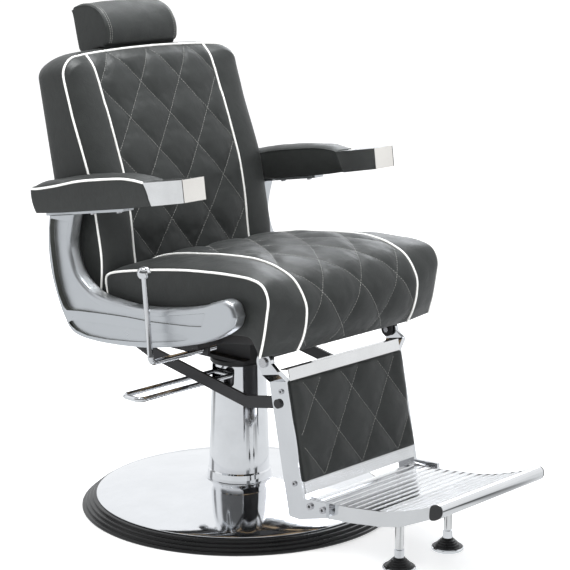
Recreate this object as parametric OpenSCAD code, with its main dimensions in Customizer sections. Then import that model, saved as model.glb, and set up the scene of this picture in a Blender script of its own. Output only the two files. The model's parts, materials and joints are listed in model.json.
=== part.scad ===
// Hydraulic barber chair at its lowest height, with a backrest and legrest linked to recline.
// Origin on the floor under the lift column, +Z up. The sitter faces -Y and
// +X is the sitter's left. Millimetres.

/* [Base] */
// Radius of the rubber ring at the floor
base_r = 345; // [335:1:355]
// Radius of the lift ram
ram_r = 22; // [20:0.5:22.5]

/* [Seat] */
// Half width of the seat cushion
seat_hw = 262; // [255:1:264]
// Half width of the quilted centre panel of the seat
seat_panel_hw = 172; // [150:1:180]
// Downward tilt of the seat towards the back, in degrees
seat_tilt = 7; // [6.5:0.1:7.5]

/* [Arms] */
// Inner face of the cast side frames, from the middle plane
frame_in = 272; // [270:1:274]
// Thickness of the cast side frames
frame_t = 36; // [30:1:40]

/* [Back] */
// Half width of the backrest
back_hw = 256; // [245:1:257]
// Half width of the headrest roll
head_hw = 103; // [90:1:115]

/* [Legrest] */
// Half width between the two leg brackets
leg_hw = 172; // [171.5:0.5:174]
// Half width of the footplate
foot_hw = 163; // [155:1:165]
// Number of raised ribs on the tread
tread_ribs = 15; // [9:1:17]
// Distance of each levelling foot from the middle plane
leveller_x = 78; // [60:1:100]

/* [Hidden] */
$fn = 64;

// Clearances on the radius
gap = 0.05;  // running fit
snug = 0.02; // close fit
loose = 0.3; // bolt through a plain hole

// Colours shared by several nodes
rubber = [0.05, 0.05, 0.05];
carrier_black = [0.07, 0.07, 0.07];
linkage_black = [0.08, 0.08, 0.08];
bright_metal = [0.85, 0.86, 0.88];
pale_trim = [0.9, 0.9, 0.91];
fastener_grey = [0.6, 0.6, 0.62];
rod_grey = [0.7, 0.7, 0.72];
cushion_grey = [0.24, 0.25, 0.25];
board_brown = [0.6, 0.45, 0.3];

// Linkage points, as [y, z]. The back arm and the leg bracket are parallel and
// of one length, so each link bar keeps its direction through the whole recline.
crank = [-24, -84];             // from a hinge to its link pivot
back_hinge = [190, 462];
link_front = [-286, 318];       // front end of the link bar
link_rear = back_hinge + crank; // rear end of the link bar
leg_hinge = link_front - crank;
hinge_pin_r = 6;
link_rear_r = 5;                // pin at the rear end of the link bar
link_front_r = 6;               // bolt at the front end of the link bar

// Origins, as [y, z], and tilts of the three upholstered parts
seat_z = 434.7;            // underside of the seat at the column axis
back_foot = [265, 480];    // foot of the backrest's rear face
back_tilt = 11.7;          // lean of the backrest's rear face
leg_top = [-302, 391];     // top front edge of the legrest panel
leg_tilt = atan(51 / 251); // lean of the legrest panel
leg_len = 256;             // length of the legrest panel

// ---- curves and points ----
// Catmull-Rom point between b and c
function spline(a, b, c, d, t) = 0.5 * (2 * b + (c - a) * t
  + (2 * a - 5 * b + 4 * c - d) * t * t
  + (-a + 3 * b - 3 * c + d) * t * t * t);

function closed_curve(points, steps) = let (count = len(points))
  [for (i = [0 : count - 1]) for (k = [0 : steps - 1])
    spline(points[(i + count - 1) % count], points[i],
      points[(i + 1) % count], points[(i + 2) % count], k / steps)];

function open_curve(points, steps = 3) = let (last = len(points) - 1) concat(
  [for (i = [0 : last - 1]) for (k = [0 : steps - 1])
    spline(points[max(i - 1, 0)], points[i], points[i + 1], points[min(i + 2, last)], k / steps)],
  [points[last]]);

function unit(v) = v / norm(v);
function left_of(v) = [-v[1], v[0]];

// mitred offset of point i of a path, to its left
function mitre_point(path, i, offset) = let (
    before = i > 0 ? unit(path[i] - path[i - 1]) : unit(path[1] - path[0]),
    after = i < len(path) - 1 ? unit(path[i + 1] - path[i]) : before,
    mitre = unit(left_of(before) + left_of(after)))
  path[i] + mitre * offset / (mitre * left_of(before));

// half circle of points from the left of a direction round to its right
function round_end(centre, direction, radius) = [for (k = [1 : 13])
  let (t = 90 - 180 * k / 14)
  centre + radius * (cos(t) * direction + sin(t) * left_of(direction))];

// [y, z] in the chair of a point [y, z] in a tilted frame
function tilted_point(origin, tilt, y, z) =
  origin + [y * cos(tilt) + z * sin(tilt), z * cos(tilt) - y * sin(tilt)];
function seat_point(y, z) = tilted_point([0, seat_z], seat_tilt, y, z);
function back_point(y, z) = tilted_point(back_foot, back_tilt, y, z);
function leg_point(y, z) = tilted_point(leg_top, leg_tilt, y, z);

// ---- shape helpers ----
// a [y, z] outline drawn out along X
module extrude_x(x0, x1) translate([x0, 0, 0]) rotate([90, 0, 90])
  linear_extrude(x1 - x0) children();

module cylinder_x(x0, x1, point, radius) translate([x0, point[0], point[1]]) rotate([0, 90, 0])
  cylinder(h = x1 - x0, r = radius);

// box between two opposite corners
module box(low, high) translate(low) cube(high - low);

module both_sides() {
  children();
  mirror([1, 0, 0]) children();
}

// four places on a circle round the column
module four_round(radius) for (a = [45 : 90 : 315]) rotate(a) translate([radius, 0, 0]) children();

module tilted(origin, tilt) translate([0, origin[0], origin[1]]) rotate([-tilt, 0, 0]) children();
module seat_place() tilted([0, seat_z], seat_tilt) children();
module back_place() tilted(back_foot, back_tilt) children();
// legrest panel frame: -Y runs forward out of the panel, Z runs up the panel
module leg_place() tilted(leg_top, leg_tilt) children();

// hexagonal screw head or nut; the radius is to its corners
module hexnut(radius, height) cylinder(h = height, r = radius, $fn = 6);

// outline of a flat bar along a path, with round ends
module bar_outline(path, width) {
  last = len(path) - 1;
  half = width / 2;
  polygon(concat(
    [for (i = [0 : last]) mitre_point(path, i, half)],
    round_end(path[last], unit(path[last] - path[last - 1]), half),
    [for (i = [last : -1 : 0]) mitre_point(path, i, -half)],
    round_end(path[0], unit(path[0] - path[1]), half)));
}

// ---- base and pump ----
plate_top = 44;        // top of the base plate's boss
base_bolts_r = 54;     // pitch radius of the bolts through the bearing ring
base_bolt_r = 5;
flange_r = 46;         // flange at the foot of the pump
flange_z = 44.1;
flange_h = 6;
barrel_r = 39.5;
barrel_top = 240;
lever_x = -34;         // pivot of the pump lever
lever_z = 302;
lever_pin_r = 4;
lever_rod_r = 5.5;
lever_hw = 26;         // from the middle plane to each leg of the pump lever
lever_len = 270;       // straight part of each leg
lever_bend_r = 14;
press_bar_x = -50;     // bar of the pump lever that works the plunger
plunger_x = press_bar_x + 1;
plunger_r = 5;
ram_z = 72;            // foot of the ram
ram_top = 340;
spigot_r = 18;         // top of the ram, inside the seat hub

// outlines as [radius, z]
ring_profile = [[297, 0], [343, 0], [345, 2], [345, 5], [343, 7], [338, 7.5], [337, 8.5],
  [337, 12], [335.5, 13.5], [330.5, 14], [329.5, 15], [329.5, 18], [328, 19.5], [322.5, 20],
  [321.5, 21], [321.5, 24], [320, 25.5], [315, 26.5], [297, 26.5]];
plate_profile = [[0, 0], [40, 0], [40, 3], [296, 3], [296, 14], [110, 18], [92, 24],
  [88, plate_top], [0, plate_top]];
cover_top = [[312, 26.7], [313.5, 28], [311, 30.5], [290, 35.5], [240, 43], [180, 49],
  [120, 54], [90, 57], [74, 60.5]];
cover_underside = [[72, 58.3], [90, 54.8], [120, 51.8], [180, 46.8], [240, 40.8], [290, 33.3],
  [308, 28.7], [309, 26.7]];

module base_ring() color(rubber)
  // the profile is drawn for a ring of radius 345
  rotate_extrude($fn = 180) translate([base_r - 345, 0]) polygon(ring_profile);

module base_plate() color([0.25, 0.25, 0.26]) difference() {
  rotate_extrude($fn = 120) polygon(plate_profile);
  four_round(base_bolts_r) translate([0, 0, 20]) cylinder(h = 30, r = base_bolt_r + snug);
}

module base_cover() color(bright_metal) rotate_extrude($fn = 180)
  polygon(concat(open_curve(cover_top), [[74, 62], [66.2, 62], [66.2, 59]],
    open_curve(cover_underside)));

module pump_body() color([0.2, 0.2, 0.21]) difference() {
  union() {
    // the flange that turns under the bearing ring
    translate([0, 0, flange_z]) cylinder(h = flange_h, r = flange_r);
    translate([0, 0, flange_z]) cylinder(h = barrel_top - flange_z, r = barrel_r);
    translate([0, 0, barrel_top]) cylinder(h = 10, r = 54);
    translate([0, 0, 250]) cylinder(h = 71.5, r = 28);
    translate([0, 0, 312]) cylinder(h = 9.5, r = 34);
    // plunger barrel
    translate([plunger_x, 0, 248]) cylinder(h = 32, r = 7.3);
    // ears that carry the lever pin
    for (side = [-1, 1]) {
      box([lever_x - 6, side * 15.5 - 3.5, 249], [lever_x + 12, side * 15.5 + 3.5, lever_z]);
      translate([lever_x, side * 15.5 + 3.5, lever_z]) rotate([90, 0, 0]) cylinder(h = 7, r = 6);
    }
  }
  translate([0, 0, 60]) cylinder(h = 188, r = 27);
  translate([0, 0, 240]) cylinder(h = 90, r = ram_r + gap);
  translate([0, 0, 314]) cylinder(h = 20, r = ram_r + 6);
  translate([plunger_x, 0, 252]) cylinder(h = 40, r = plunger_r + gap);
  translate([lever_x, 40, lever_z]) rotate([90, 0, 0]) cylinder(h = 80, r = lever_pin_r + snug);
}

module pump_bolts() color(fastener_grey) four_round(base_bolts_r) {
  translate([0, 0, 22]) cylinder(h = 33.3, r = base_bolt_r);
  translate([0, 0, 55.1]) hexnut(8.4, 6.2);
}

// ring that holds the pump flange down on the base plate and lets the column turn
module swivel_bearing() color([0.6, 0.55, 0.4]) difference() {
  step_z = flange_z + flange_h + gap;
  rotate_extrude($fn = 96) polygon([[flange_r + gap, plate_top + gap], [62, plate_top + gap],
    [62, 55], [barrel_r + gap, 55], [barrel_r + gap, step_z], [flange_r + gap, step_z]]);
  four_round(base_bolts_r) translate([0, 0, 40]) cylinder(h = 30, r = base_bolt_r + loose);
}

// outer radius of the tapering pump cover at height z
function cover_radius(z) = 66.5 - 0.0305 * (z - 62);

module pump_cover() color([0.88, 0.89, 0.91]) difference() {
  rotate_extrude($fn = 120) polygon([[cover_radius(80) - 2.2, 62.1], [cover_radius(62) + 4, 62.1],
    [cover_radius(62) + 4, 66], [cover_radius(62) + 2.6, 80], [cover_radius(80) + 0.6, 83],
    [cover_radius(322), 322], [cover_radius(322) - 2, 322]]);
  // window for the pump lever
  box([-90, -33, 286], [-20, 33, 313]);
  for (side = [-1, 1], z = [286, 313])
    translate([-90, side * 24, z]) rotate([0, 90, 0]) cylinder(h = 70, r = 9);
  box([-90, -24, 277], [-20, 24, 316]);
}

module gland_ring() color([0.06, 0.06, 0.06]) rotate_extrude($fn = 96)
  polygon([[ram_r + 1, 322.2], [61, 322.2], [63, 324], [63, 332], [60, 335.5],
    [ram_r + 1, 335.5]]);

module ram_seal() color([0.1, 0.1, 0.1]) rotate_extrude($fn = 96)
  polygon([[ram_r + gap, 314.1], [ram_r + 5.95, 314.1], [ram_r + 5.95, 321.3],
    [ram_r + gap, 321.3]]);

module lever_pin() color(fastener_grey)
  translate([lever_x, 32.5, lever_z]) rotate([90, 0, 0]) cylinder(h = 65, r = lever_pin_r);

module pump_lever() color(bright_metal) difference() {
  bend_y = lever_hw - lever_bend_r;
  union() {
    // the bent rod: two legs and a rounded end
    for (side = [-1, 1]) {
      translate([lever_x, side * lever_hw, lever_z]) rotate([0, -90, 0])
        cylinder(h = lever_len, r = lever_rod_r, $fn = 32);
      translate([lever_x - lever_len, side * bend_y, lever_z])
        rotate([0, 0, side > 0 ? 90 : 180]) rotate_extrude(angle = 90, $fn = 48)
        translate([lever_bend_r, 0]) circle(r = lever_rod_r, $fn = 32);
    }
    translate([lever_x - lever_len - lever_bend_r, bend_y, lever_z]) rotate([90, 0, 0])
      cylinder(h = 2 * bend_y, r = lever_rod_r, $fn = 32);
    // eyes on the pin and the bar that works the plunger
    for (side = [-1, 1]) translate([lever_x, side * 25.8 + 5.2, lever_z]) rotate([90, 0, 0])
      cylinder(h = 10.4, r = 7.2);
    translate([press_bar_x, lever_hw, lever_z]) rotate([90, 0, 0])
      cylinder(h = 2 * lever_hw, r = 4.6);
  }
  translate([lever_x, 60, lever_z]) rotate([90, 0, 0]) cylinder(h = 120, r = lever_pin_r + gap);
}

module pump_plunger() color(rod_grey) translate([plunger_x, 0, 0]) {
  translate([0, 0, 262]) cylinder(h = 31, r = plunger_r);
  translate([0, 0, 292.5]) cylinder(h = 4.2, r = 6.8);
}

module ram() color(bright_metal) union() {
  translate([0, 0, ram_z]) cylinder(h = ram_top - ram_z, r = ram_r);
  translate([0, 0, ram_z]) cylinder(h = 10, r = 26.6);
  translate([0, 0, ram_top - 1]) cylinder(h = 45, r = spigot_r);
}

// ---- seat carrier ----
hub_r = 34;
hub_bolts_r = 51;     // pitch radius of the bolts through hub and mount plate
hub_bolt_r = 5;
mount_top = 361;      // top face of the mount plate
carrier_y = 120;      // half length of the mount plate
carrier_wall = 6;
rail_x = 182.5;       // inner face of the seat rails
rail_t = 6;
end_plate_x = 268.5;  // middle of the plates that take the side frames
recline_y = -76;      // axis of the recline lever
recline_z = 393;
recline_rod_r = 6;

// height of the seat's underside at y
function seat_under(y) = seat_z - y * tan(seat_tilt);

module hub_bolt_holes() four_round(hub_bolts_r) translate([0, 0, 340])
  cylinder(h = 30, r = hub_bolt_r + loose);

module seat_hub() color(carrier_black) difference() {
  union() {
    translate([0, 0, ram_top + gap]) cylinder(h = 50.15, r = hub_r);
    translate([0, 0, 345.2]) cylinder(h = 7.8, r = 64);
  }
  translate([0, 0, 330]) cylinder(h = 55, r = spigot_r + gap);
  hub_bolt_holes();
}

module mount_plate() color(carrier_black) difference() {
  union() {
    box([-110, -carrier_y, 353.1], [110, carrier_y, mount_top]);
    both_sides() extrude_x(84, 90) polygon([[-carrier_y, 360], [carrier_y, 360],
      [carrier_y, seat_under(carrier_y) - 35.2], [-carrier_y, seat_under(-carrier_y) - 35.2]]);
    // cross walls that close the carrier at both ends
    box([-85, -carrier_y, 360],
      [85, carrier_wall - carrier_y, seat_under(carrier_wall - carrier_y) - 35.4]);
    box([-40, carrier_y - carrier_wall, 360], [40, carrier_y, seat_under(carrier_y) - 35.4]);
  }
  translate([0, 0, 350]) cylinder(h = 20, r = hub_r + 0.2);
  hub_bolt_holes();
}

module mount_bolts() color([0.8, 0.8, 0.82]) four_round(hub_bolts_r) {
  translate([0, 0, 344]) cylinder(h = 27, r = hub_bolt_r);
  translate([0, 0, 338.6]) hexnut(8.4, 6.5);
  translate([0, 0, mount_top + 0.1]) hexnut(8.4, 7);
}

module rail_ears() both_sides() extrude_x(rail_x + 0.4, rail_x + 5.6) {
  // front, down to the legrest hinge
  polygon([leg_hinge - [14, 0], leg_hinge + [14, 0], [-222, 432], [-222, 458],
    [leg_hinge[0] - 10, 462], [leg_hinge[0] - 14, 440]]);
  translate(leg_hinge) circle(r = 14.6);
  // rear, up to the backrest hinge
  polygon([[112, 392], [118, 415], [142, 441], back_hinge + [-12, 8], back_hinge + [13, -6],
    [165, 405], [148, 388]]);
  translate(back_hinge) circle(r = 15);
}

module seat_frame() color(carrier_black) difference() {
  union() {
    seat_place() {
      // cross members: two over the carrier and one at the front edge
      box([-270, -128, -34], [270, -98, 0]);
      box([-270, 12, -24], [270, 42, 0]);
      box([-rail_x - 3, -262, -24], [rail_x + 3, -246, 0]);
      for (side = [-1, 1]) {
        // foot of the rear cross member on the carrier
        box([side * 87 - 12, 12, -34.4], [side * 87 + 12, 42, -20]);
        // end plates that take the side frames
        box([side * end_plate_x - 3, -146, -30], [side * end_plate_x + 3, -80, -2]);
        box([side * end_plate_x - 3, 4, -28], [side * end_plate_x + 3, 78, -2]);
      }
      both_sides() box([rail_x, -262, -32], [rail_x + rail_t, 148, 0]);
    }
    rail_ears();
    // bracket that carries the recline lever
    extrude_x(-182.6, -176)
      polygon([[-88, 381], [-64, 381], [-64, 400], [-70, 416], [-82, 416], [-88, 400]]);
  }
  both_sides() {
    for (hinge = [leg_hinge, back_hinge]) cylinder_x(150, 230, hinge, hinge_pin_r + snug);
    for (point = frame_bolts) cylinder_x(262, 274, point, frame_bolt_r + loose);
  }
  cylinder_x(-220, -150, [recline_y, recline_z], recline_rod_r + gap);
}

// ---- seat ----
// side outlines as [y, z]
seat_curve = [[118, 426], [124, 484], [133, 513], [128, 531], [106, 543], [29, 557], [-89, 575],
  [-175, 583], [-258, 587], [-312, 581], [-332, 566], [-335, 548], [-327, 491], [-315, 440]];
seat_front_lip = [[-311, 434], [-303, 436], [-297, 452], [-284, 466.8], [-262, 467.5]];
panel_curve = [[110, 500], [112, 530], [85, 558], [20, 578], [-90, 593], [-175, 601],
  [-225, 601], [-275, 593], [-320, 574], [-347, 535], [-350, 502], [-342, 465], [-328, 437]];

// room for the back arms and the link bars at full recline, in the seat frame
module recline_notches(y_end) both_sides() box([158, 84, -1], [187, y_end, 14]);

module seat_board() color(board_brown) seat_place() difference() {
  box([-240, -264, 0.2], [240, 116, 12.5]);
  recline_notches(120);
}

module seat_cushion() color(cushion_grey) difference() {
  union() {
    extrude_x(-seat_hw, seat_hw) polygon(concat(open_curve(seat_curve), seat_front_lip));
    // raised centre panel
    extrude_x(-seat_panel_hw, seat_panel_hw)
      polygon(concat(open_curve(panel_curve), [[-300, 437], [-290, 480]]));
  }
  seat_place() {
    box([-241, -265, -30], [241, 117, 13]);
    box([-300, -262, -30], [300, 200, 1]);
    recline_notches(140);
  }
}

// ---- arms ----
frame_out = frame_in + frame_t; // outer face of the side frames
frame_bolt_r = 4;
frame_bolts = [seat_point(-138, -10), seat_point(-88, -16), seat_point(52, -16)];
empty_hole = seat_point(70, -16);  // tapped hole that takes no bolt
arm_screw_r = 3;
arm_slope = 9.26;               // fall of the arm screws' plane towards the back, in degrees
pad_screws = [60, 140];         // y of the screws into the arm pad
frame_screws = [200, 245];      // y of the screws into the side frame

// underside of the arm pad
function arm_z(y) = 698 - 0.163 * (y + 7);

// frame of an arm screw: Z is square to the arm plate
module arm_axis(y) translate([frame_in + frame_t / 2, y, arm_z(y)]) rotate([-arm_slope, 0, 0])
  children();

// Side frame outlines as [y, z]: the rear and lower edge from the arm down and
// forward, then the upper edge back to the arm
side_lower = [[263, 646], [267, 606], [266, 563], [258, 521], [243, 480], [228, 450],
  [209, 420], [191, 406], [165, 399], [102, 399], [26, 404], [-49, 413], [-137, 433],
  [-190, 447], [-228, 462], [-258, 478], [-277, 492], [-286, 507], [-287, 523], [-278, 538],
  [-263, 545]];
side_upper = [[-246, 544], [-220, 535], [-194, 525], [-138, 511], [-36, 495], [39, 493],
  [115, 500], [154, 517], [178, 538], [191, 564], [198, 594], [193, 627], [183, 655]];
side_recess = [[254, 644], [257, 625], [257, 594], [253, 561], [245, 518], [233, 483],
  [219, 459], [209, 452], [162, 457], [85, 463], [20, 467], [-53, 469], [-115, 474],
  [-159, 478], [-196, 483], [-203, 502], [-207, 514], [-138, 499], [-71, 485], [-8, 477],
  [43, 474], [85, 475], [132, 486], [168, 507], [190, 535], [203, 568], [206, 601],
  [201, 628], [195, 644]];
side_leaf = [[203, 427], [194, 432], [153, 437], [105, 441], [48, 444], [-7, 447], [-62, 452],
  [-106, 455], [-141, 457], [-157, 455], [-152, 449], [-124, 442], [-61, 429], [12, 418],
  [87, 410], [144, 408], [178, 413], [196, 421]];
pad_rear = [[306, 650], [314, 665], [317, 690], [308, 704], [290, 711]];
pad_top = [[144, 736], [22, 753.5], [-43, 754]];

module side_frame_left() color([0.75, 0.77, 0.79]) difference() {
  extrude_x(frame_in, frame_out) polygon(concat(open_curve(side_lower), open_curve(side_upper),
    [[184, arm_z(184) - 6.5], [262, arm_z(262) - 6.5]]));
  // recess in the outer face, down the rear upright and forward, deepest at the rear
  intersection() {
    extrude_x(frame_out - 13, frame_out + 1) polygon(side_recess);
    translate([0, 0, 380]) linear_extrude(300) polygon([[frame_out - 12, 300],
      [frame_out - 12, 215], [frame_out - 4, 60], [frame_out - 4, -250],
      [frame_out + 2, -250], [frame_out + 2, 300]]);
  }
  // leaf-shaped recess below it
  extrude_x(frame_out - 4, frame_out + 1) polygon(closed_curve(side_leaf, 2));
  // tapped holes for the frame bolts, and for the arm plate screws
  for (point = concat(frame_bolts, [empty_hole]))
    cylinder_x(frame_in - 1, frame_in + 16, point, frame_bolt_r + snug);
  for (y = frame_screws) arm_axis(y) translate([0, 0, -22])
    cylinder(h = 20, r = arm_screw_r + snug);
}
module side_frame_right() mirror([1, 0, 0]) side_frame_left();

module side_frame_bolts() color(fastener_grey) both_sides() for (point = frame_bolts) {
  cylinder_x(frame_in - 5.5, frame_in + 15, point, frame_bolt_r);
  translate([frame_in - 11.6, point[0], point[1]]) rotate([0, 90, 0]) hexnut(7, 5);
}

module arm_plate_left() color([0.3, 0.31, 0.32]) difference() {
  extrude_x(frame_in + 4, frame_out - 4) polygon([[30, arm_z(30) - 0.3],
    [272, arm_z(272) - 0.3], [272, arm_z(272) - 6.2], [30, arm_z(30) - 6.2]]);
  for (y = concat(pad_screws, frame_screws)) arm_axis(y) translate([0, 0, -12])
    cylinder(h = 24, r = arm_screw_r + loose);
}
module arm_plate_right() mirror([1, 0, 0]) arm_plate_left();

module arm_pad_left() color([0.2, 0.21, 0.21]) difference() {
  extrude_x(261, 320) polygon(concat([[-66, 711], [-60, 708], [-7, 699], [299, 648.6]],
    open_curve(pad_rear), open_curve(pad_top)));
  for (y = pad_screws) arm_axis(y) translate([0, 0, -2])
    cylinder(h = 18, r = arm_screw_r + snug);
}
module arm_pad_right() mirror([1, 0, 0]) arm_pad_left();

// hollow cap on the front end of the arm
module arm_cap_left() color(pale_trim) difference() {
  extrude_x(259.8, 320.1) polygon([[-44.3, 755], [-157, 774], [-163, 729], [-69, 711]]);
  extrude_x(261.4, 318.5)
    polygon([[-40, 752.9], [-155.6, 772.3], [-161.2, 730.4], [-66, 712.2]]);
}
module arm_cap_right() mirror([1, 0, 0]) arm_cap_left();

module arm_screws() color(rod_grey) both_sides() {
  for (y = pad_screws) arm_axis(y) {
    translate([0, 0, -6.5]) cylinder(h = 20, r = arm_screw_r);
    translate([0, 0, -9.8]) cylinder(h = 3.4, r = 5.5);
  }
  for (y = frame_screws) arm_axis(y) translate([0, 0, -20]) cylinder(h = 19, r = arm_screw_r);
}

// a pin on each side with its head at the outer end x1
module hinge_pins(x0, x1, point) both_sides() {
  cylinder_x(x0, x1, point, hinge_pin_r);
  cylinder_x(x1, x1 + 4, point, 10);
}
module back_hinge_pins() color(fastener_grey) hinge_pins(171.5, 189, back_hinge);
module leg_hinge_pins() color(fastener_grey) hinge_pins(180, 199.5, leg_hinge);

// ---- recline lock ----
lock_x = 62;
lock_arm = 70;        // from the backrest hinge to the rod's pivot
lock_angle = 20;      // of that arm from the vertical
lock_pivot = back_hinge + lock_arm * [sin(lock_angle), -cos(lock_angle)];
lock_z = lock_pivot[1] - lock_arm * (1 - cos(lock_angle)) / 2;
lock_rod_r = 6;

module lock_cylinder() color([0.12, 0.12, 0.12]) difference() {
  union() {
    translate([lock_x, -84, lock_z]) rotate([-90, 0, 0]) cylinder(h = 190, r = 11);
    // stands on the mount plate
    box([lock_x - 14, -60, mount_top + 0.1], [lock_x + 14, -44, lock_z]);
    box([lock_x - 14, 60, mount_top + 0.1], [lock_x + 14, 76, lock_z - 2]);
  }
  translate([lock_x, -70, lock_z]) rotate([-90, 0, 0]) cylinder(h = 200, r = lock_rod_r + gap);
}

// upright slot outline at the eye of the lock rod
module eye_outline(radius, reach) translate([lock_pivot[0], lock_z]) {
  square([2 * radius, 2 * reach], center = true);
  for (side = [-1, 1]) translate([0, side * reach]) circle(r = radius);
}

module lock_rod() color([0.8, 0.8, 0.82]) difference() {
  union() {
    translate([lock_x, 30, lock_z]) rotate([-90, 0, 0])
      cylinder(h = lock_pivot[0] - 37, r = lock_rod_r);
    // slotted eye: the pin rises and falls in it as the back frame swings
    extrude_x(lock_x - 5, lock_x + 5) eye_outline(11, 9);
  }
  extrude_x(lock_x - 8, lock_x + 8) eye_outline(6.5, 5.5);
}

recline_bend_x = -322; // where the level rod turns up
recline_bend_r = 12;
recline_lean = 5.4;    // lean of the upright rod, in degrees
recline_len = 162;     // length of the upright rod
knob_r = 14;

module upright_foot() translate([recline_bend_x - recline_bend_r, recline_y,
  recline_z + recline_bend_r]) children();
module upright_place() upright_foot() rotate([-recline_lean, 0, 0]) children();

module recline_lever() color([0.82, 0.83, 0.85]) union() {
  translate([recline_bend_x, recline_y, recline_z]) rotate([0, 90, 0])
    cylinder(h = 172, r = recline_rod_r, $fn = 32);
  // bend and upright rod
  translate([recline_bend_x, recline_y, recline_z + recline_bend_r]) rotate([90, 0, 180])
    rotate_extrude(angle = -90, $fn = 48) translate([recline_bend_r, 0])
    circle(r = recline_rod_r, $fn = 32);
  upright_foot() sphere(r = 6.5, $fn = 32);
  upright_place() cylinder(h = recline_len, r = recline_rod_r, $fn = 32);
}

module recline_knob() color(pale_trim) upright_place() rotate_extrude($fn = 48)
  polygon(concat([[0, recline_len + 0.1]],
    [for (a = [-45 : 7.5 : 82.5]) [knob_r * cos(a), 172 + knob_r * sin(a)]],
    [[0, 172 + knob_r]]));

// ---- backrest ----
back_top = 506;      // height of the cushion outline up the back
back_corner_r = 42;
cross_tube = back_hinge + [14, -22];
post_hw = 20;        // headrest post
post_front = -54;
post_rear = -42;

// side outlines of the cushion as [y, z]
back_front_curve = [[137, 478], [135, 510], [137, 560], [145, 620], [158, 690], [176, 750],
  [200, 812], [230, 880], [252, 930], [268, 965], [290, 984]];
back_rear_curve = [[320, 978], [350, 967], [358, 945], [356, 921], [348, 881]];
// headrest, as [y, z] in the backrest frame
headrest_curve = [[12, 604], [-8, 607], [-34, 604], [-60, 591], [-79, 567], [-86, 540],
  [-82, 520], [-70, 507]];

// crank arm and upright on each side
module back_arms() both_sides() extrude_x(172.5, 180.5) {
  low = back_point(-44, 60);
  high = back_point(-44, 420);
  bar_outline([link_rear, back_hinge], 30);
  translate(back_hinge) circle(r = 17.5);
  polygon([back_hinge + [-16, 4], back_hinge + [14, -8], low + [12, -4], low + [14, 10],
    low - [14, 0]]);
  polygon([low + [-14, 3], high + [-14, 3], high + [14, -3], low + [14, -3]]);
}

module back_frame() color(linkage_black) difference() {
  union() {
    back_arms();
    back_place() for (z = [110, 220, 400]) box([-173, -36, z], [173, -31, z + 30]);
    // cross tube between the arms, with the lugs and pin that drive the lock rod
    cylinder_x(-173, 173, cross_tube, 9);
    for (side = [-1, 1]) extrude_x(lock_x + side * 9 - 3, lock_x + side * 9 + 3)
      bar_outline([cross_tube, lock_pivot], 20);
    cylinder_x(lock_x - 11, lock_x + 11, lock_pivot, 5);
  }
  both_sides() {
    cylinder_x(160, 190, back_hinge, hinge_pin_r + gap);
    cylinder_x(160, 190, link_rear, link_rear_r + snug);
  }
}

module back_board() color(board_brown) back_place() difference() {
  box([-234, -70, 8], [234, -60, 438]);
  both_sides() box([168, -72, 0], [185, -58, 76]);
}

// front view of the cushion, as [x, distance up the back]
module back_outline() {
  corner_x = back_hw - back_corner_r;
  corner_z = back_top - back_corner_r;
  translate([-back_hw, -60]) square([2 * back_hw, corner_z - 6 + 60]);
  translate([-corner_x, 0]) square([2 * corner_x, back_top]);
  for (side = [-1, 1]) translate([side * corner_x, corner_z]) circle(r = back_corner_r);
}

module back_cushion() color(cushion_grey) difference() {
  intersection() {
    extrude_x(-back_hw, back_hw) polygon(concat(open_curve(back_front_curve),
      open_curve(back_rear_curve), [[265, 479], [262, 474]]));
    back_place() translate([0, 60, 0]) rotate([90, 0, 0]) linear_extrude(260) back_outline();
  }
  back_place() {
    box([-235, -71, -40], [235, 30, 440]);
    // slot for the headrest post
    box([-21, -55.5, 430], [21, -40.5, 520]);
    // slots for the arms of the back frame
    both_sides() box([168, -94, -60], [190, -70, 76]);
  }
}

module back_panel() color([0.22, 0.23, 0.23]) back_place()
  box([-234, -9, 2], [234, -0.5, 438]);

module link_rear_pins() color(fastener_grey) both_sides() {
  cylinder_x(162, 182.2, link_rear, link_rear_r);
  cylinder_x(159.6, 162.2, link_rear, 9);
}

// ---- headrest ----
// the post's section, grown by a clearance, between two heights up the back
module post_box(z0, z1, clearance = 0)
  box([-post_hw - clearance, post_front - clearance, z0],
    [post_hw + clearance, post_rear + clearance, z1]);

module headrest_sleeve() color([0.3, 0.3, 0.31]) back_place() difference() {
  box([-26, -59, 230], [26, -37, 432]);
  post_box(220, 440, gap);
}

module headrest_pad() color([0.22, 0.23, 0.23]) back_place() difference() {
  extrude_x(-head_hw, head_hw)
    polygon(concat([[19, 507], [21, 597]], open_curve(headrest_curve)));
  post_box(500, 560, gap);
}

module headrest_post() color(rod_grey) back_place() post_box(245, 559.5);

// ---- legrest ----
bracket_out = leg_hw + 9;       // outer face of the leg brackets
ear_in = 190;                   // faces of the bracket's hinge ear
ear_out = 199;
legrest_hw = 171.8;             // half width of the board and trims
leg_foot = leg_point(1, -262);  // front edge of the bracket where its foot begins
foot_bolts = [for (y = [-20, -54]) leg_foot + [y, -12]];
foot_bolt_r = 4;
side_screws = [for (z = [-44, -232]) leg_point(18, z)];
side_screw_r = 3;

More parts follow.
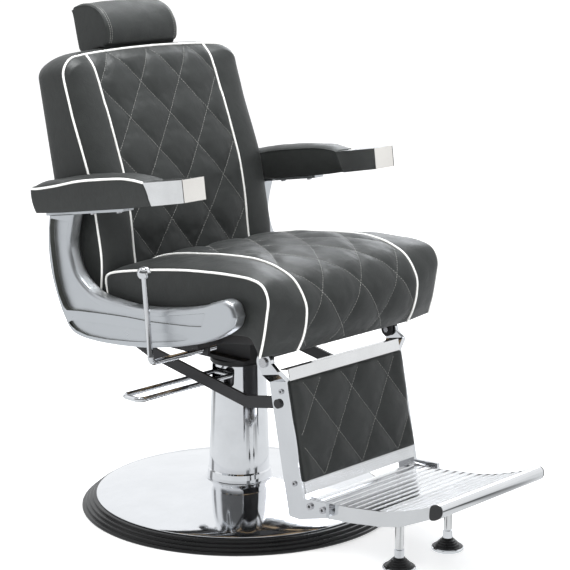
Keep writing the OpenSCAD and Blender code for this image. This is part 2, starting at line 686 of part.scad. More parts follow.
module leg_bracket_left() color([0.86, 0.87, 0.89]) difference() {
  union() {
    extrude_x(leg_hw, bracket_out) polygon([leg_point(47, -22), leg_point(1, -22), leg_foot,
      leg_foot + [-62, 4], leg_foot + [-62, -28], leg_point(20, -306), leg_point(47, -300)]);
    // the upper end steps outward to the hinge
    extrude_x(ear_in, ear_out) {
      translate(leg_hinge) circle(r = 20);
      polygon([leg_hinge + [-19.5, 1], leg_hinge + [19.5, 1], leg_point(47, -3),
        leg_point(1, -3)]);
    }
    leg_place() translate([0, 47, 0]) rotate([90, 0, 0]) linear_extrude(46)
      polygon([[leg_hw, -24], [bracket_out, -24], [ear_out, -6], [ear_out, -1], [ear_in, -1],
        [leg_hw, -19]]);
  }
  cylinder_x(150, 230, leg_hinge, hinge_pin_r + gap);
  cylinder_x(150, 230, link_front, link_front_r + snug);
  for (point = side_screws) cylinder_x(150, 230, point, side_screw_r + snug);
  for (point = foot_bolts) cylinder_x(150, 230, point, foot_bolt_r + snug);
}
module leg_bracket_right() mirror([1, 0, 0]) leg_bracket_left();

module link_front_bolts() color([0.3, 0.3, 0.31]) both_sides() {
  cylinder_x(161.5, 182, link_front, link_front_r);
  cylinder_x(181.1, 185.5, link_front, 9.5);
  cylinder_x(159, 161.6, link_front, 9);
}

module legrest_board() color([0.1, 0.1, 0.1]) leg_place() difference() {
  box([-legrest_hw, 9, -230.5], [legrest_hw, 13, -25]);
  for (side = [-1, 1]) box([side * 168 - 6, 8, -110], [side * 168 + 6, 14, -40]);
}

module legrest_pad() color(cushion_grey) leg_place() union() {
  box([-171.5, -6, -230], [171.5, 8.8, -25]);
  box([-160, -14, -220], [160, 0, -35]);
}

module legrest_top_trim() color(pale_trim) leg_place() difference() {
  box([-legrest_hw, -2, -24.5], [legrest_hw, 20, 0]);
  box([-173, 0, -30], [173, 22, -2]);
}

module legrest_bottom_trim() color([0.75, 0.76, 0.78]) leg_place() union() {
  box([-legrest_hw, 0, -leg_len], [legrest_hw, 8, 25 - leg_len]);
  // raised ribs on the front face
  for (i = [0 : 4]) let (z = 1.5 - leg_len + i * 4.8)
    box([-legrest_hw, -1.6, z], [legrest_hw, 0.5, z + 2.2]);
  // flange behind each end
  for (side = [-1, 1]) box([side * 165 - 5, 7, -leg_len], [side * 165 + 5, 34, 24 - leg_len]);
}

module legrest_screws() color([0.5, 0.5, 0.52]) both_sides() for (point = side_screws) {
  cylinder_x(leg_hw - 0.1, bracket_out + 0.2, point, side_screw_r);
  cylinder_x(bracket_out + 0.1, bracket_out + 3, point, 5.5);
}

module leg_bumpers() color(rubber) both_sides() difference() {
  cylinder_x(188.6, 189.9, leg_hinge, 10.5);
  cylinder_x(187, 191, leg_hinge, hinge_pin_r + gap);
}

// ---- footplate ----
leveller_y = -520;
leveller_r = 6;     // threaded end of the levelling foot
tread_rear = -351;  // rear edge of the ribbed part of the tread
tread_depth = 312;

// side outlines as [y, z]
tread_top = [[-668, 186], [-634, 173], [-589, 158], [-539, 146], [-462, 136], [-404, 131],
  [-350, 128]];
skirt_edge = [[-404, 98], [-462, 104], [-539, 115], [-589, 126], [-658, 157], [-668, 176]];
lip_outline = closed_curve([[-664, 162], [-672, 160], [-684, 165], [-692, 174], [-693, 185],
  [-688, 192], [-678, 193], [-668, 189], [-664, 180]], 3);
// levelling foot, as [radius, z]
leveller_profile = [[0, 0], [32, 0], [33.5, 1.5], [33.5, 5], [32, 7], [28.5, 8.5], [27.5, 8],
  [25, 9.5], [24, 12.5], [21, 13.5], [20, 16.5], [17, 17.5], [16, 20.5], [12.5, 21.5],
  [11.5, 25], [0, 25]];

function tread_z(y) = lookup(y, tread_top);

// one raised rib across the tread, centred at y
module tread_rib(y, half) extrude_x(-foot_hw, foot_hw) polygon([
  [y - half - 1, tread_z(y - half) - 6], [y + half + 1, tread_z(y + half) - 6],
  [y + half, tread_z(y + half) - 1.2], [y + half - 1.2, tread_z(y + half)],
  [y - half + 1.2, tread_z(y - half)], [y - half, tread_z(y - half) - 1.2]]);

module footplate() color([0.78, 0.79, 0.81]) difference() {
  union() {
    // tread sheet
    extrude_x(-foot_hw, foot_hw) polygon(concat([for (point = tread_top) point - [0, 4]],
      [for (i = [len(tread_top) - 1 : -1 : 0]) tread_top[i] - [0, 8]]));
    for (i = [0 : tread_ribs - 1]) let (pitch = tread_depth / tread_ribs)
      tread_rib(tread_rear - pitch * (i + 0.5), 0.36 * pitch);
    both_sides() {
      // side skirt, up to the tread
      extrude_x(foot_hw - 5, foot_hw)
        polygon(concat(skirt_edge, [for (i = [0 : 5]) tread_top[i]]));
      // side arm that bolts to the leg bracket
      extrude_x(foot_hw - 5, foot_hw)
        polygon([[-406, 100], [-404, 130], [-352, 134], [-340, 120], [-344, 102]]);
      box([foot_hw - 2, -403, 104], [leg_hw - 0.1, -348, 128]);
    }
    // cross bar over the levelling feet, with a block for each
    box([3 - foot_hw, leveller_y - 16, 112], [foot_hw - 3, leveller_y + 16, 118]);
    for (side = [-1, 1]) box([side * leveller_x - 16, leveller_y - 16, 116],
      [side * leveller_x + 16, leveller_y + 16, 139]);
    // smooth front lip
    extrude_x(-foot_hw, foot_hw) polygon(lip_outline);
  }
  for (side = [-1, 1]) translate([side * leveller_x, leveller_y, 100])
    cylinder(h = 34, r = leveller_r + gap);
  both_sides() for (point = foot_bolts)
    cylinder_x(150, leg_hw + 2, point, foot_bolt_r + snug);
}

module footplate_caps() color(rubber) both_sides()
  extrude_x(foot_hw + 0.1, foot_hw + 3) polygon(lip_outline);

module footplate_screws() color(fastener_grey) both_sides() for (point = foot_bolts) {
  cylinder_x(foot_hw - 4, bracket_out + 0.2, point, foot_bolt_r);
  cylinder_x(bracket_out + 0.1, bracket_out + 4.1, point, 7);
}

module leveller_nuts() color(fastener_grey)
  for (side = [-1, 1]) translate([side * leveller_x, leveller_y, 104.5]) difference() {
    hexnut(11.5, 7.3);
    translate([0, 0, -1]) cylinder(h = 12, r = leveller_r + gap);
  }

module leveller(side) color([0.5, 0.5, 0.52])
  translate([side * leveller_x, leveller_y, 0]) union() {
    rotate_extrude($fn = 64) polygon(leveller_profile);
    translate([0, 0, 24]) cylinder(h = 17, r = 10);
    translate([0, 0, 41]) cylinder(h = 3, r = 7.5);
    translate([0, 0, 44]) cylinder(h = 50, r = 8.8);
    translate([0, 0, 90]) cylinder(h = 32, r = leveller_r);
  }
module leveller_left() leveller(1);
module leveller_right() leveller(-1);

// ---- link bars ----
module link_bar_left() color(linkage_black) difference() {
  extrude_x(164, 170) bar_outline([link_front, [-185, 300], [100, 355], link_rear], 25);
  cylinder_x(150, 180, link_front, link_front_r + gap);
  cylinder_x(150, 180, link_rear, link_rear_r + gap);
}
module link_bar_right() mirror([1, 0, 0]) link_bar_left();

base_ring();
base_plate();
base_cover();
pump_body();
pump_bolts();
pump_cover();
gland_ring();
ram_seal();
lever_pin();
pump_lever();
pump_plunger();
ram();
swivel_bearing();
seat_hub();
mount_plate();
mount_bolts();
seat_frame();
seat_board();
seat_cushion();
side_frame_left();
side_frame_right();
side_frame_bolts();
arm_plate_left();
arm_plate_right();
arm_pad_left();
arm_pad_right();
arm_cap_left();
arm_cap_right();
arm_screws();
back_hinge_pins();
leg_hinge_pins();
lock_cylinder();
lock_rod();
recline_lever();
recline_knob();
back_frame();
back_board();
back_cushion();
back_panel();
headrest_sleeve();
link_rear_pins();
headrest_pad();
headrest_post();
leg_bracket_left();
leg_bracket_right();
link_front_bolts();
legrest_board();
legrest_pad();
legrest_top_trim();
legrest_bottom_trim();
legrest_screws();
leg_bumpers();
footplate();
footplate_caps();
footplate_screws();
leveller_nuts();
leveller_left();
leveller_right();
link_bar_left();
link_bar_right();
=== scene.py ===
"""Looks of a hydraulic barber chair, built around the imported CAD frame.

The chair faces -Y, +X is the sitter's left and +Z is up. Shapes are worked out in
millimetres and turned into metres when a mesh is made. Materials, lights and the floor
are in metres.
"""
import functools
import json
import math

import bpy
import bmesh
import numpy as np
from mathutils import Matrix, Vector


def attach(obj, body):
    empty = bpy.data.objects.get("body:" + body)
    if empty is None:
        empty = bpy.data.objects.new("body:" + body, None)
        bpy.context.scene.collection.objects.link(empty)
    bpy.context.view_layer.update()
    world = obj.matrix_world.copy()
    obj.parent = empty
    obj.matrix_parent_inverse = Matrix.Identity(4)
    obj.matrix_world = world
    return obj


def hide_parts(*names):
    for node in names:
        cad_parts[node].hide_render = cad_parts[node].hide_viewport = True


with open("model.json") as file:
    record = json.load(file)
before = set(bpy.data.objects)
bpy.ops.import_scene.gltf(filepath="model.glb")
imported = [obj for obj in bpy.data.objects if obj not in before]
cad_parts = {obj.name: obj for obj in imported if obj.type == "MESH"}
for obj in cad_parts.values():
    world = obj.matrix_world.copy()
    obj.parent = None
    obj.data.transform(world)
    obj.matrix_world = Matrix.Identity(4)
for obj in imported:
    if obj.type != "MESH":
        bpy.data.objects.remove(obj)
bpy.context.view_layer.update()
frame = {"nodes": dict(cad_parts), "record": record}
NODES = frame["nodes"]
SCENE = bpy.context.scene
MM = 0.001


# ------------------------------------------------------------------ node graphs
class Graph:
    """A small builder for shader node trees."""

    def __init__(self, tree):
        self.tree = tree
        tree.nodes.clear()

    def feed(self, socket, value):
        """Links a socket to an input, or sets the input's value."""
        if isinstance(value, bpy.types.NodeSocket):
            self.tree.links.new(value, socket)
        elif socket.type == "RGBA":
            socket.default_value = (*value, 1)
        else:
            socket.default_value = value

    def add(self, kind, inputs=None, **settings):
        node = self.tree.nodes.new("ShaderNode" + kind)
        for key, value in settings.items():
            setattr(node, key, value)
        for key, value in (inputs or {}).items():
            self.feed(node.inputs[key], value)
        return node

    def math(self, operation, a, b=0.0, c=0.0):
        return self.add("Math", dict(enumerate((a, b, c))), operation=operation).outputs[0]

    def ramp(self, value, source=(0.3, 0.7), to=(0, 1)):
        """Maps the source range to another one, clamped."""
        return self.add("MapRange", dict(enumerate((value, *source, *to)))).outputs[0]

    def highest(self, values):
        return functools.reduce(lambda a, b: self.math("MAXIMUM", a, b), values)


PRINCIPLED = {
    "color": "Base Color", "rough": "Roughness", "metal": "Metallic", "normal": "Normal",
    "specular": "Specular IOR Level", "coat": "Coat Weight", "coat_rough": "Coat Roughness",
    "sheen": "Sheen Weight", "sheen_rough": "Sheen Roughness",
}


class Mat(Graph):
    """A material with one Principled shader and textures in object coordinates."""

    def __init__(self, name):
        self.material = bpy.data.materials.new(name)
        self.material.use_nodes = True
        super().__init__(self.material.node_tree)
        self.output = self.add("OutputMaterial")
        self.shader = self.add("BsdfPrincipled")
        self.feed(self.output.inputs[0], self.shader.outputs[0])
        self.place = self.add("TexCoord").outputs["Object"]

    def mapping(self, scale, rotation=(0, 0, 0)):
        inputs = {"Scale": scale, "Rotation": rotation, "Vector": self.place}
        return self.add("Mapping", inputs).outputs[0]

    def noise(self, scale, detail=2.0, rough=0.5, distort=0.0, vector=None):
        inputs = {"Scale": scale, "Detail": detail, "Roughness": rough,
                  "Distortion": distort, "Vector": vector or self.place}
        return self.add("TexNoise", inputs).outputs[0]

    def voronoi(self, scale, feature="F1"):
        inputs = {"Scale": scale, "Vector": self.place}
        return self.add("TexVoronoi", inputs, feature=feature).outputs[0]

    def mix(self, factor, a, b):
        node = self.add("Mix", {0: factor}, data_type="RGBA")
        colors = [s for s in node.inputs if s.type == "RGBA"]
        self.feed(colors[0], a)
        self.feed(colors[1], b)
        return [s for s in node.outputs if s.type == "RGBA"][0]

    def bump(self, height, strength, distance, normal=None):
        inputs = {"Strength": strength, "Distance": distance, "Height": height}
        if normal is not None:
            inputs["Normal"] = normal
        return self.add("Bump", inputs).outputs[0]

    def bevel(self, radius):
        return self.add("Bevel", {"Radius": radius}, samples=4).outputs[0]

    def edge(self, radius):
        """0 on flats, up to 1 where the rounded normal leaves the true one."""
        true_normal = self.add("NewGeometry").outputs["Normal"]
        dot = self.add("VectorMath", {0: self.bevel(radius), 1: true_normal},
                       operation="DOT_PRODUCT")
        return self.ramp(dot.outputs["Value"], (0.99, 0.75))

    def done(self, **inputs):
        for key, value in inputs.items():
            self.feed(self.shader.inputs[PRINCIPLED[key]], value)
        return self.material


# ------------------------------------------------------------------ materials
def shade(color, factor):
    return tuple(min(1, c * factor) for c in color)


def vinyl(name, color, grain=1.0):
    """Leather-grained vinyl: creases, cells and pores."""
    m = Mat(name)
    cloud = m.noise(scale=5.0, detail=3.0, rough=0.6)
    folds = m.noise(scale=46.0, detail=4.0, rough=0.62, distort=0.6)
    cells = m.voronoi(scale=620.0)
    small_cells = m.voronoi(scale=1150.0, feature="SMOOTH_F1")
    pores = m.ramp(m.noise(scale=2100.0), (0.35, 0.65))
    height = m.math("ADD", m.math("MULTIPLY", cells, 0.9), m.math("MULTIPLY", small_cells, 0.5))
    height = m.math("ADD", height, m.math("MULTIPLY", pores, 0.12))
    normal = m.bump(m.ramp(folds), strength=0.22 * grain, distance=0.0016)
    normal = m.bump(height, strength=0.34 * grain, distance=0.00035, normal=normal)
    # colour follows the bump: darker in the low parts of the folds and in the sunken middles of
    # the cells, painted shade; the cloud tone differs at random
    tone = m.math("MULTIPLY", m.ramp(cloud, to=(0.88, 1.14)),
                  m.ramp(folds, (0.25, 0.75), to=(0.9, 1.1)))
    base = m.mix(m.ramp(tone, (0.72, 1.3)), shade(color, 0.72), shade(color, 1.32))
    base = m.mix(m.ramp(cells, (0.0, 0.55), to=(0.32, 0.0)), base, shade(color, 0.55))
    rough = m.math("ADD", m.ramp(cloud, to=(0.37, 0.46)), m.ramp(pores, (0, 1), to=(-0.03, 0.04)))
    return m.done(color=base, rough=rough, normal=normal, specular=0.31,
                  sheen=0.03, sheen_rough=0.35)


def metal(name, color, rough, scratch=0.25, bevel=0.0007, brushed=None, tint=0.06, peel=0.0):
    """Bare metal; brushed is the texture scale that draws the scratches out along X."""
    m = Mat(name)
    rounded = m.bevel(bevel)
    if brushed:
        scratches = m.noise(scale=1.0, detail=3.0, rough=0.6, vector=m.mapping(brushed))
    else:
        scratches = m.noise(scale=900.0, rough=0.6)
    cloud = m.noise(scale=14.0, detail=3.0, rough=0.6)
    streak = m.noise(scale=1.0, vector=m.mapping((35, 35, 480), rotation=(0.3, 0.5, 0.1)))
    depth = 0.00012 if brushed else 0.00006
    normal = m.bump(scratches, strength=scratch, distance=depth, normal=rounded)
    if peel:
        normal = m.bump(m.noise(scale=260.0), strength=peel, distance=0.0002, normal=normal)
    roughness = m.math("ADD", m.ramp(cloud, to=(rough * 0.75, rough * 1.3)),
                       m.ramp(streak, (0.45, 0.75), to=(0.0, 0.05)))
    base = m.mix(m.ramp(cloud), shade(color, 1 - tint), shade(color, 1 + tint))
    return m.done(color=base, rough=roughness, metal=1.0, normal=normal)


def painted(name, color, rough, peel=0.25, specular=0.5, coat=0.0, wear=0.35):
    """Paint, rubber or plastic with a fine orange peel; wear greys the sharp edges."""
    m = Mat(name)
    rounded = m.bevel(0.0008)
    skin = m.noise(scale=420.0, detail=3.0, rough=0.55)
    cloud = m.noise(scale=9.0, detail=3.0)
    normal = m.bump(skin, strength=peel, distance=0.00025, normal=rounded)
    base = m.mix(m.ramp(cloud), shade(color, 0.8), shade(color, 1.25))
    if wear:
        rubbed = m.ramp(m.noise(scale=160.0, detail=3.0), (0.45, 0.6), to=(0.0, wear))
        base = m.mix(m.math("MULTIPLY", m.edge(0.001), rubbed), base, (0.22, 0.22, 0.23))
    roughness = m.math("ADD", m.ramp(cloud, to=(rough * 0.85, rough * 1.2)),
                       m.ramp(skin, to=(-0.03, 0.03)))
    return m.done(color=base, rough=roughness, normal=normal, specular=specular,
                  coat=coat, coat_rough=0.12)


def piping_mat():
    m = Mat("white_piping_vinyl")
    grain = m.voronoi(scale=900.0)
    cloud = m.noise(scale=18.0, detail=3.0)
    return m.done(color=m.mix(m.ramp(cloud), (0.80, 0.80, 0.78), (0.92, 0.92, 0.90)),
                  rough=m.ramp(cloud, to=(0.32, 0.42)),
                  normal=m.bump(grain, strength=0.22, distance=0.00025),
                  specular=0.5, sheen=0.1)


def thread_mat():
    m = Mat("stitch_thread")
    twist = m.noise(scale=1400.0)
    return m.done(color=m.mix(m.ramp(twist), (0.17, 0.17, 0.165), (0.36, 0.36, 0.34)),
                  rough=0.62, normal=m.bump(twist, strength=0.6, distance=0.0002), sheen=0.3)


def wood_mat():
    m = Mat("plywood")
    grain = m.noise(scale=1.0, detail=4.0, rough=0.6, distort=0.4,
                    vector=m.mapping((14, 220, 220)))
    return m.done(color=m.mix(m.ramp(grain), (0.36, 0.24, 0.13), (0.62, 0.46, 0.29)),
                  rough=0.7, normal=m.bump(grain, strength=0.3, distance=0.0004))


VINYL = vinyl("charcoal_vinyl", (0.027, 0.029, 0.0285))
VINYL_BACK = vinyl("charcoal_vinyl_rear", (0.024, 0.026, 0.026), grain=1.15)
PIPING = piping_mat()
THREAD = thread_mat()
CHROME = metal("polished_chrome", (0.86, 0.87, 0.89), rough=0.055, scratch=0.10, bevel=0.0006)
CHROME_SHEET = metal("chromed_sheet", (0.80, 0.81, 0.83), rough=0.06, scratch=0.05,
                     bevel=0.0006, tint=0.03)
CAST = metal("satin_silver_casting", (0.68, 0.70, 0.725), rough=0.34, bevel=0.0012,
             tint=0.03, peel=0.12)
# dark metal for the recess walls of the side frames: painted shade
CAST_RECESS_SHADE = metal("casting_recess_painted_shade", (0.20, 0.205, 0.185), rough=0.5, scratch=0.4, bevel=0.0008)
BRIGHT = metal("bright_steel", (0.88, 0.88, 0.88), rough=0.13, scratch=0.2, bevel=0.0006,
               brushed=(30, 900, 900))
TREAD = metal("bright_aluminium", (0.84, 0.845, 0.855), rough=0.13, scratch=0.12,
              bevel=0.0006, brushed=(12, 1100, 1100), tint=0.03)
ZINC = metal("zinc_plate", (0.62, 0.62, 0.64), rough=0.25, scratch=0.3, bevel=0.0005)
IRON = painted("primed_iron", (0.16, 0.16, 0.17), rough=0.6, peel=0.5)
BLACK = painted("black_powder_coat", (0.018, 0.018, 0.02), rough=0.42, peel=0.35)
RUBBER = painted("black_rubber", (0.008, 0.008, 0.0085), rough=0.30, peel=0.12,
                 specular=0.35, coat=0.12, wear=0.0)
PLASTIC = painted("black_plastic", (0.015, 0.015, 0.016), rough=0.38, peel=0.3, wear=0.15)
WOOD = wood_mat()
SLOT = {"vinyl": VINYL, "chrome": CHROME, "cast_frame": CAST, "bright_steel": BRIGHT,
        "tread": TREAD, "black_steel": BLACK, "rubber": RUBBER, "iron": IRON, "zinc": ZINC,
        "plastic": PLASTIC, "board": WOOD}


# ------------------------------------------------------------------ carried-over CAD nodes
def shade_smooth(mesh):
    mesh.polygons.foreach_set("use_smooth", np.ones(len(mesh.polygons), bool))


def dress(obj, material, angle=32.0):
    """Gives an object one material and smooth shading, split at edges above the angle."""
    mesh = obj.data
    for key in ("custom_normal", "sharp_edge", "sharp_face"):
        attribute = mesh.attributes.get(key)
        if attribute is not None:
            mesh.attributes.remove(attribute)
    shade_smooth(mesh)
    mesh.materials.clear()
    mesh.materials.append(material)
    obj.modifiers.new("weld", "WELD").merge_threshold = 2e-6
    split = obj.modifiers.new("sharp", "EDGE_SPLIT")
    split.split_angle = math.radians(angle)
    split.use_edge_sharp = False


def repaint(node, material, test):
    """Gives another material to the faces whose centre and normal pass the test."""
    mesh = NODES[node].data
    mesh.materials.append(material)
    for face in mesh.polygons:
        if test(face.center, face.normal):
            face.material_index = len(mesh.materials) - 1


NODE_SLOT = {part["node"]: part["material_slot"] for part in frame["record"]["subparts"]}
for node_name, node_object in NODES.items():
    dress(node_object, SLOT[NODE_SLOT.get(node_name, "black_steel")])
for node_name in ("base_cover", "leg_bracket_left", "leg_bracket_right"):
    NODES[node_name].data.materials[0] = CHROME_SHEET

# front ends of the arm caps, brushed, a little brighter and warmer: painted warm reflection on
# the front faces
BRIGHT_FRONT_REFLECTION = metal("bright_steel_painted_warm_reflection", (0.95, 0.915, 0.87), rough=0.16, scratch=0.2,
                    bevel=0.0006, brushed=(30, 900, 900))
for node_name in ("arm_cap_left", "arm_cap_right"):
    repaint(node_name, BRIGHT_FRONT_REFLECTION, lambda centre, normal: normal.y < -0.7)
# levelling feet: black cup above the chromed foot, bright stem above that
for node_name in ("leveller_left", "leveller_right"):
    repaint(node_name, RUBBER, lambda centre, normal: 0.0072 < centre.z < 0.0252)
    repaint(node_name, BRIGHT, lambda centre, normal: centre.z > 0.0445)


# ------------------------------------------------------------------ curves and surfaces (mm)
def catmull(points, u):
    """Catmull-Rom curve through the points, u from 0 to len(points) - 1."""
    p = np.asarray(points, float)
    n = len(p) - 1
    u = np.clip(np.asarray(u, float), 0, n)
    i = np.minimum(u.astype(int), n - 1)
    t = (u - i)[..., None]
    a, b, c, d = p[np.maximum(i - 1, 0)], p[i], p[i + 1], p[np.minimum(i + 2, n)]
    return 0.5 * (2 * b + (c - a) * t + (2 * a - 5 * b + 4 * c - d) * t * t
                  + (-a + 3 * b - 3 * c + d) * t ** 3)


def unit(vectors, least=1e-9):
    return vectors / np.maximum(np.linalg.norm(vectors, axis=-1, keepdims=True), least)


def lengths_along(points):
    steps = np.linalg.norm(np.diff(points, axis=0), axis=1)
    return np.concatenate([[0], np.cumsum(steps)])


def even_places(points, step):
    """Values of u evenly spaced by arc length, and the arc length at each."""
    n = len(points) - 1
    fine_u = np.linspace(0, n, 60 * n + 1)
    along = lengths_along(catmull(points, fine_u))
    s = np.linspace(0, along[-1], max(2, int(round(along[-1] / step))) + 1)
    return np.interp(s, along, fine_u), s


def profile_normals(points, u, flip):
    d = unit(catmull(points, np.asarray(u) + 0.02) - catmull(points, np.asarray(u) - 0.02))
    n = np.stack([d[:, 1], -d[:, 0]], 1)
    return -n if flip else n


_random = np.random.default_rng(11)
WAVES = _random.normal(size=(28, 3))
PHASES = _random.uniform(0, 6.283, 28)
WAVES /= np.linalg.norm(WAVES, axis=1, keepdims=True)


def ripple(points, wavelength, seed=0):
    """Smooth pseudo-noise of about unit size over 3-D points."""
    frequency = 2 * math.pi / wavelength
    total = np.zeros(points.shape[:-1])
    waves = np.roll(WAVES, seed, axis=0)
    for j in range(14):
        total += np.sin(frequency * (0.6 + 0.08 * j) * (points @ waves[j])
                        + PHASES[(j + 3 * seed) % 28])
    return total / 3.2


HALF_DIAMOND = 58.0  # half the width of a quilted diamond
SEWN_REACH = 4.5     # how far the hold of a sewn line reaches


def quilt(x, s, start, pitch, height):
    """Pillow height over a diamond lattice, and the distance to the nearest sewn line."""
    a = x / (2 * HALF_DIAMOND) + (s - start) / (2 * pitch)
    b = x / (2 * HALF_DIAMOND) - (s - start) / (2 * pitch)
    slope = math.hypot(1 / (2 * HALF_DIAMOND), 1 / (2 * pitch))
    to_a = np.abs(a - np.round(a)) / slope
    to_b = np.abs(b - np.round(b)) / slope
    far = 0.5 / slope
    pillow = (height * (1 - (1 - np.clip(to_a / far, 0, 1)) ** 3.0)
              * (1 - (1 - np.clip(to_b / far, 0, 1)) ** 3.0))
    return pillow, np.minimum(to_a, to_b)


def even_columns(half, step):
    return np.linspace(-half, half, max(4, int(round(2 * half / step))) + 1)


def columns(panel, half, step, corner=0.0):
    """Columns from -half to half with one on each panel seam, closer at rounded corners."""
    width = half - panel
    if corner:
        flat_count = max(2, int(round((width - corner) / step))) + 1
        flat = np.linspace(panel, half - corner, flat_count)[1:]
        turn = np.linspace(0, np.pi / 2, max(5, int(round(corner * 1.57 / step))) + 1)[1:]
        side = np.concatenate([flat, half - corner + corner * np.sin(turn)])
    else:
        q = np.linspace(0, 1, max(3, int(round(width / step * 1.25))) + 1)[1:]
        side = panel + width * (1 - (1 - q) ** 1.6)
    return np.concatenate([-side[::-1], even_columns(panel, step), side])


def border(grid):
    """Border of a grid, once round, closed."""
    return np.concatenate([grid[0, :-1], grid[:-1, -1], grid[-1, :0:-1], grid[::-1, 0]])


def weld(patches):
    """Joins grids into one mesh: points, faces, and where each grid point went."""
    points, faces, base = [], [], 0
    for patch in patches:
        n, m = patch.shape[:2]
        i = np.arange(n * m).reshape(n, m) + base
        corners = [i[:-1, :-1], i[1:, :-1], i[1:, 1:], i[:-1, 1:]]
        points.append(patch.reshape(-1, 3))
        faces.append(np.stack(corners, -1).reshape(-1, 4))
        base += n * m
    points, faces = np.concatenate(points), np.concatenate(faces)
    key = np.round(points / 0.02).astype(np.int64)
    _, first, index = np.unique(key, axis=0, return_index=True, return_inverse=True)
    index = index.reshape(-1)
    return points[first], index[faces], index


def tilted(p, origin, angle):
    """Points of a frame at origin (y, z), leaning back by the angle, in chair axes."""
    y, z = p[..., 1], p[..., 2]
    cos, sin = math.cos(angle), math.sin(angle)
    return np.stack([p[..., 0], origin[0] + y * cos + z * sin,
                     origin[1] - y * sin + z * cos], -1)


# ------------------------------------------------------------------ objects
def add_mesh(name, points, faces, material=None, recalc=True, smooth=True, triangulate=False):
    """Makes an object from points in mm."""
    mesh = bpy.data.meshes.new(name)
    mesh.from_pydata((np.array(points) * MM).tolist(), [], faces)
    mesh.update()
    if recalc:
        bm = bmesh.new()
        bm.from_mesh(mesh)
        if triangulate:
            bmesh.ops.triangulate(bm, faces=[f for f in bm.faces if len(f.verts) > 4])
        bmesh.ops.recalc_face_normals(bm, faces=bm.faces)
        bm.to_mesh(mesh)
        bm.free()
    if smooth:
        shade_smooth(mesh)
    if material:
        mesh.materials.append(material)
    obj = bpy.data.objects.new(name, mesh)
    SCENE.collection.objects.link(obj)
    return obj


def remove_with_mesh(obj):
    mesh = obj.data
    bpy.data.objects.remove(obj)
    bpy.data.meshes.remove(mesh)


def register(obj, body, replaces=None):
    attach(obj, body)
    if replaces:
        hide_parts(replaces)


def add_skin(name, points, faces, material):
    """Makes a welded skin, dropping the corners and faces that the weld collapsed."""
    kept = []
    for face in faces.tolist():
        ring = [face[0]]
        for k in face[1:]:
            if k != ring[-1] and k != ring[0]:
                ring.append(k)
        if len(ring) > 2 and len(set(ring)) == len(ring):
            kept.append(ring)
    return add_mesh(name, points, kept, material)


def resize(grid, shape):
    """The grid resampled to another number of rows and columns."""
    n, m = grid.shape[:2]
    u = np.linspace(0, n - 1, shape[0])
    v = np.linspace(0, m - 1, shape[1])
    i = np.clip(u.astype(int), 0, n - 2)
    j = np.clip(v.astype(int), 0, m - 2)
    a = (u - i)[:, None, None]
    b = (v - j)[None, :, None]
    return (grid[i][:, j] * (1 - a) * (1 - b) + grid[i + 1][:, j] * a * (1 - b)
            + grid[i][:, j + 1] * (1 - a) * b + grid[i + 1][:, j + 1] * a * b)


def soften(grid):
    out = grid.copy()
    out[1:-1, 1:-1] = (
        0.25 * grid[1:-1, 1:-1]
        + 0.125 * (grid[:-2, 1:-1] + grid[2:, 1:-1] + grid[1:-1, :-2] + grid[1:-1, 2:])
        + 0.0625 * (grid[:-2, :-2] + grid[2:, 2:] + grid[:-2, 2:] + grid[2:, :-2]))
    return out


# ------------------------------------------------------------------ swollen cushions
CLOTH_FRAMES = 16


def inflate(points, faces, sewn, sim):
    """Displacement in mm of a closed mesh blown up as cloth; sewn is 1 where held."""
    obj = add_skin("sim_tmp", points, faces, VINYL)
    group = obj.vertex_groups.new(name="pin")
    weights = np.round(sewn, 2)
    for weight in np.unique(weights):
        if weight > 0:
            members = [int(i) for i in np.nonzero(weights == weight)[0]]
            group.add(members, float(weight), "REPLACE")
    modifier = obj.modifiers.new("Cloth", "CLOTH")
    cloth = modifier.settings
    cloth.quality = 4
    cloth.mass = 0.25
    cloth.tension_stiffness = cloth.compression_stiffness = 12.0
    cloth.shear_stiffness = 5.0
    cloth.bending_stiffness = 0.6
    cloth.use_pressure = True
    cloth.uniform_pressure_force = sim["pressure"]
    cloth.effector_weights.gravity = 0.0
    cloth.vertex_group_mass = "pin"
    cloth.pin_stiffness = 1.0
    cloth.shrink_min = -sim.get("swell", 0.0)
    modifier.collision_settings.use_collision = False
    modifier.collision_settings.use_self_collision = False
    modifier.point_cache.frame_start = 1
    modifier.point_cache.frame_end = CLOTH_FRAMES
    for f in range(1, CLOTH_FRAMES + 1):
        SCENE.frame_set(f)
    evaluated = obj.evaluated_get(bpy.context.evaluated_depsgraph_get())
    moved = np.zeros(len(points) * 3, np.float32)
    evaluated.data.vertices.foreach_get("co", moved)
    moved = moved.reshape(-1, 3).astype(float) / MM
    remove_with_mesh(obj)
    SCENE.frame_set(1)
    shift = moved - points
    shift[~np.isfinite(shift)] = 0
    size = np.linalg.norm(shift, axis=1, keepdims=True)
    return shift * np.minimum(1, sim["cap"] / np.maximum(size, 1e-9))


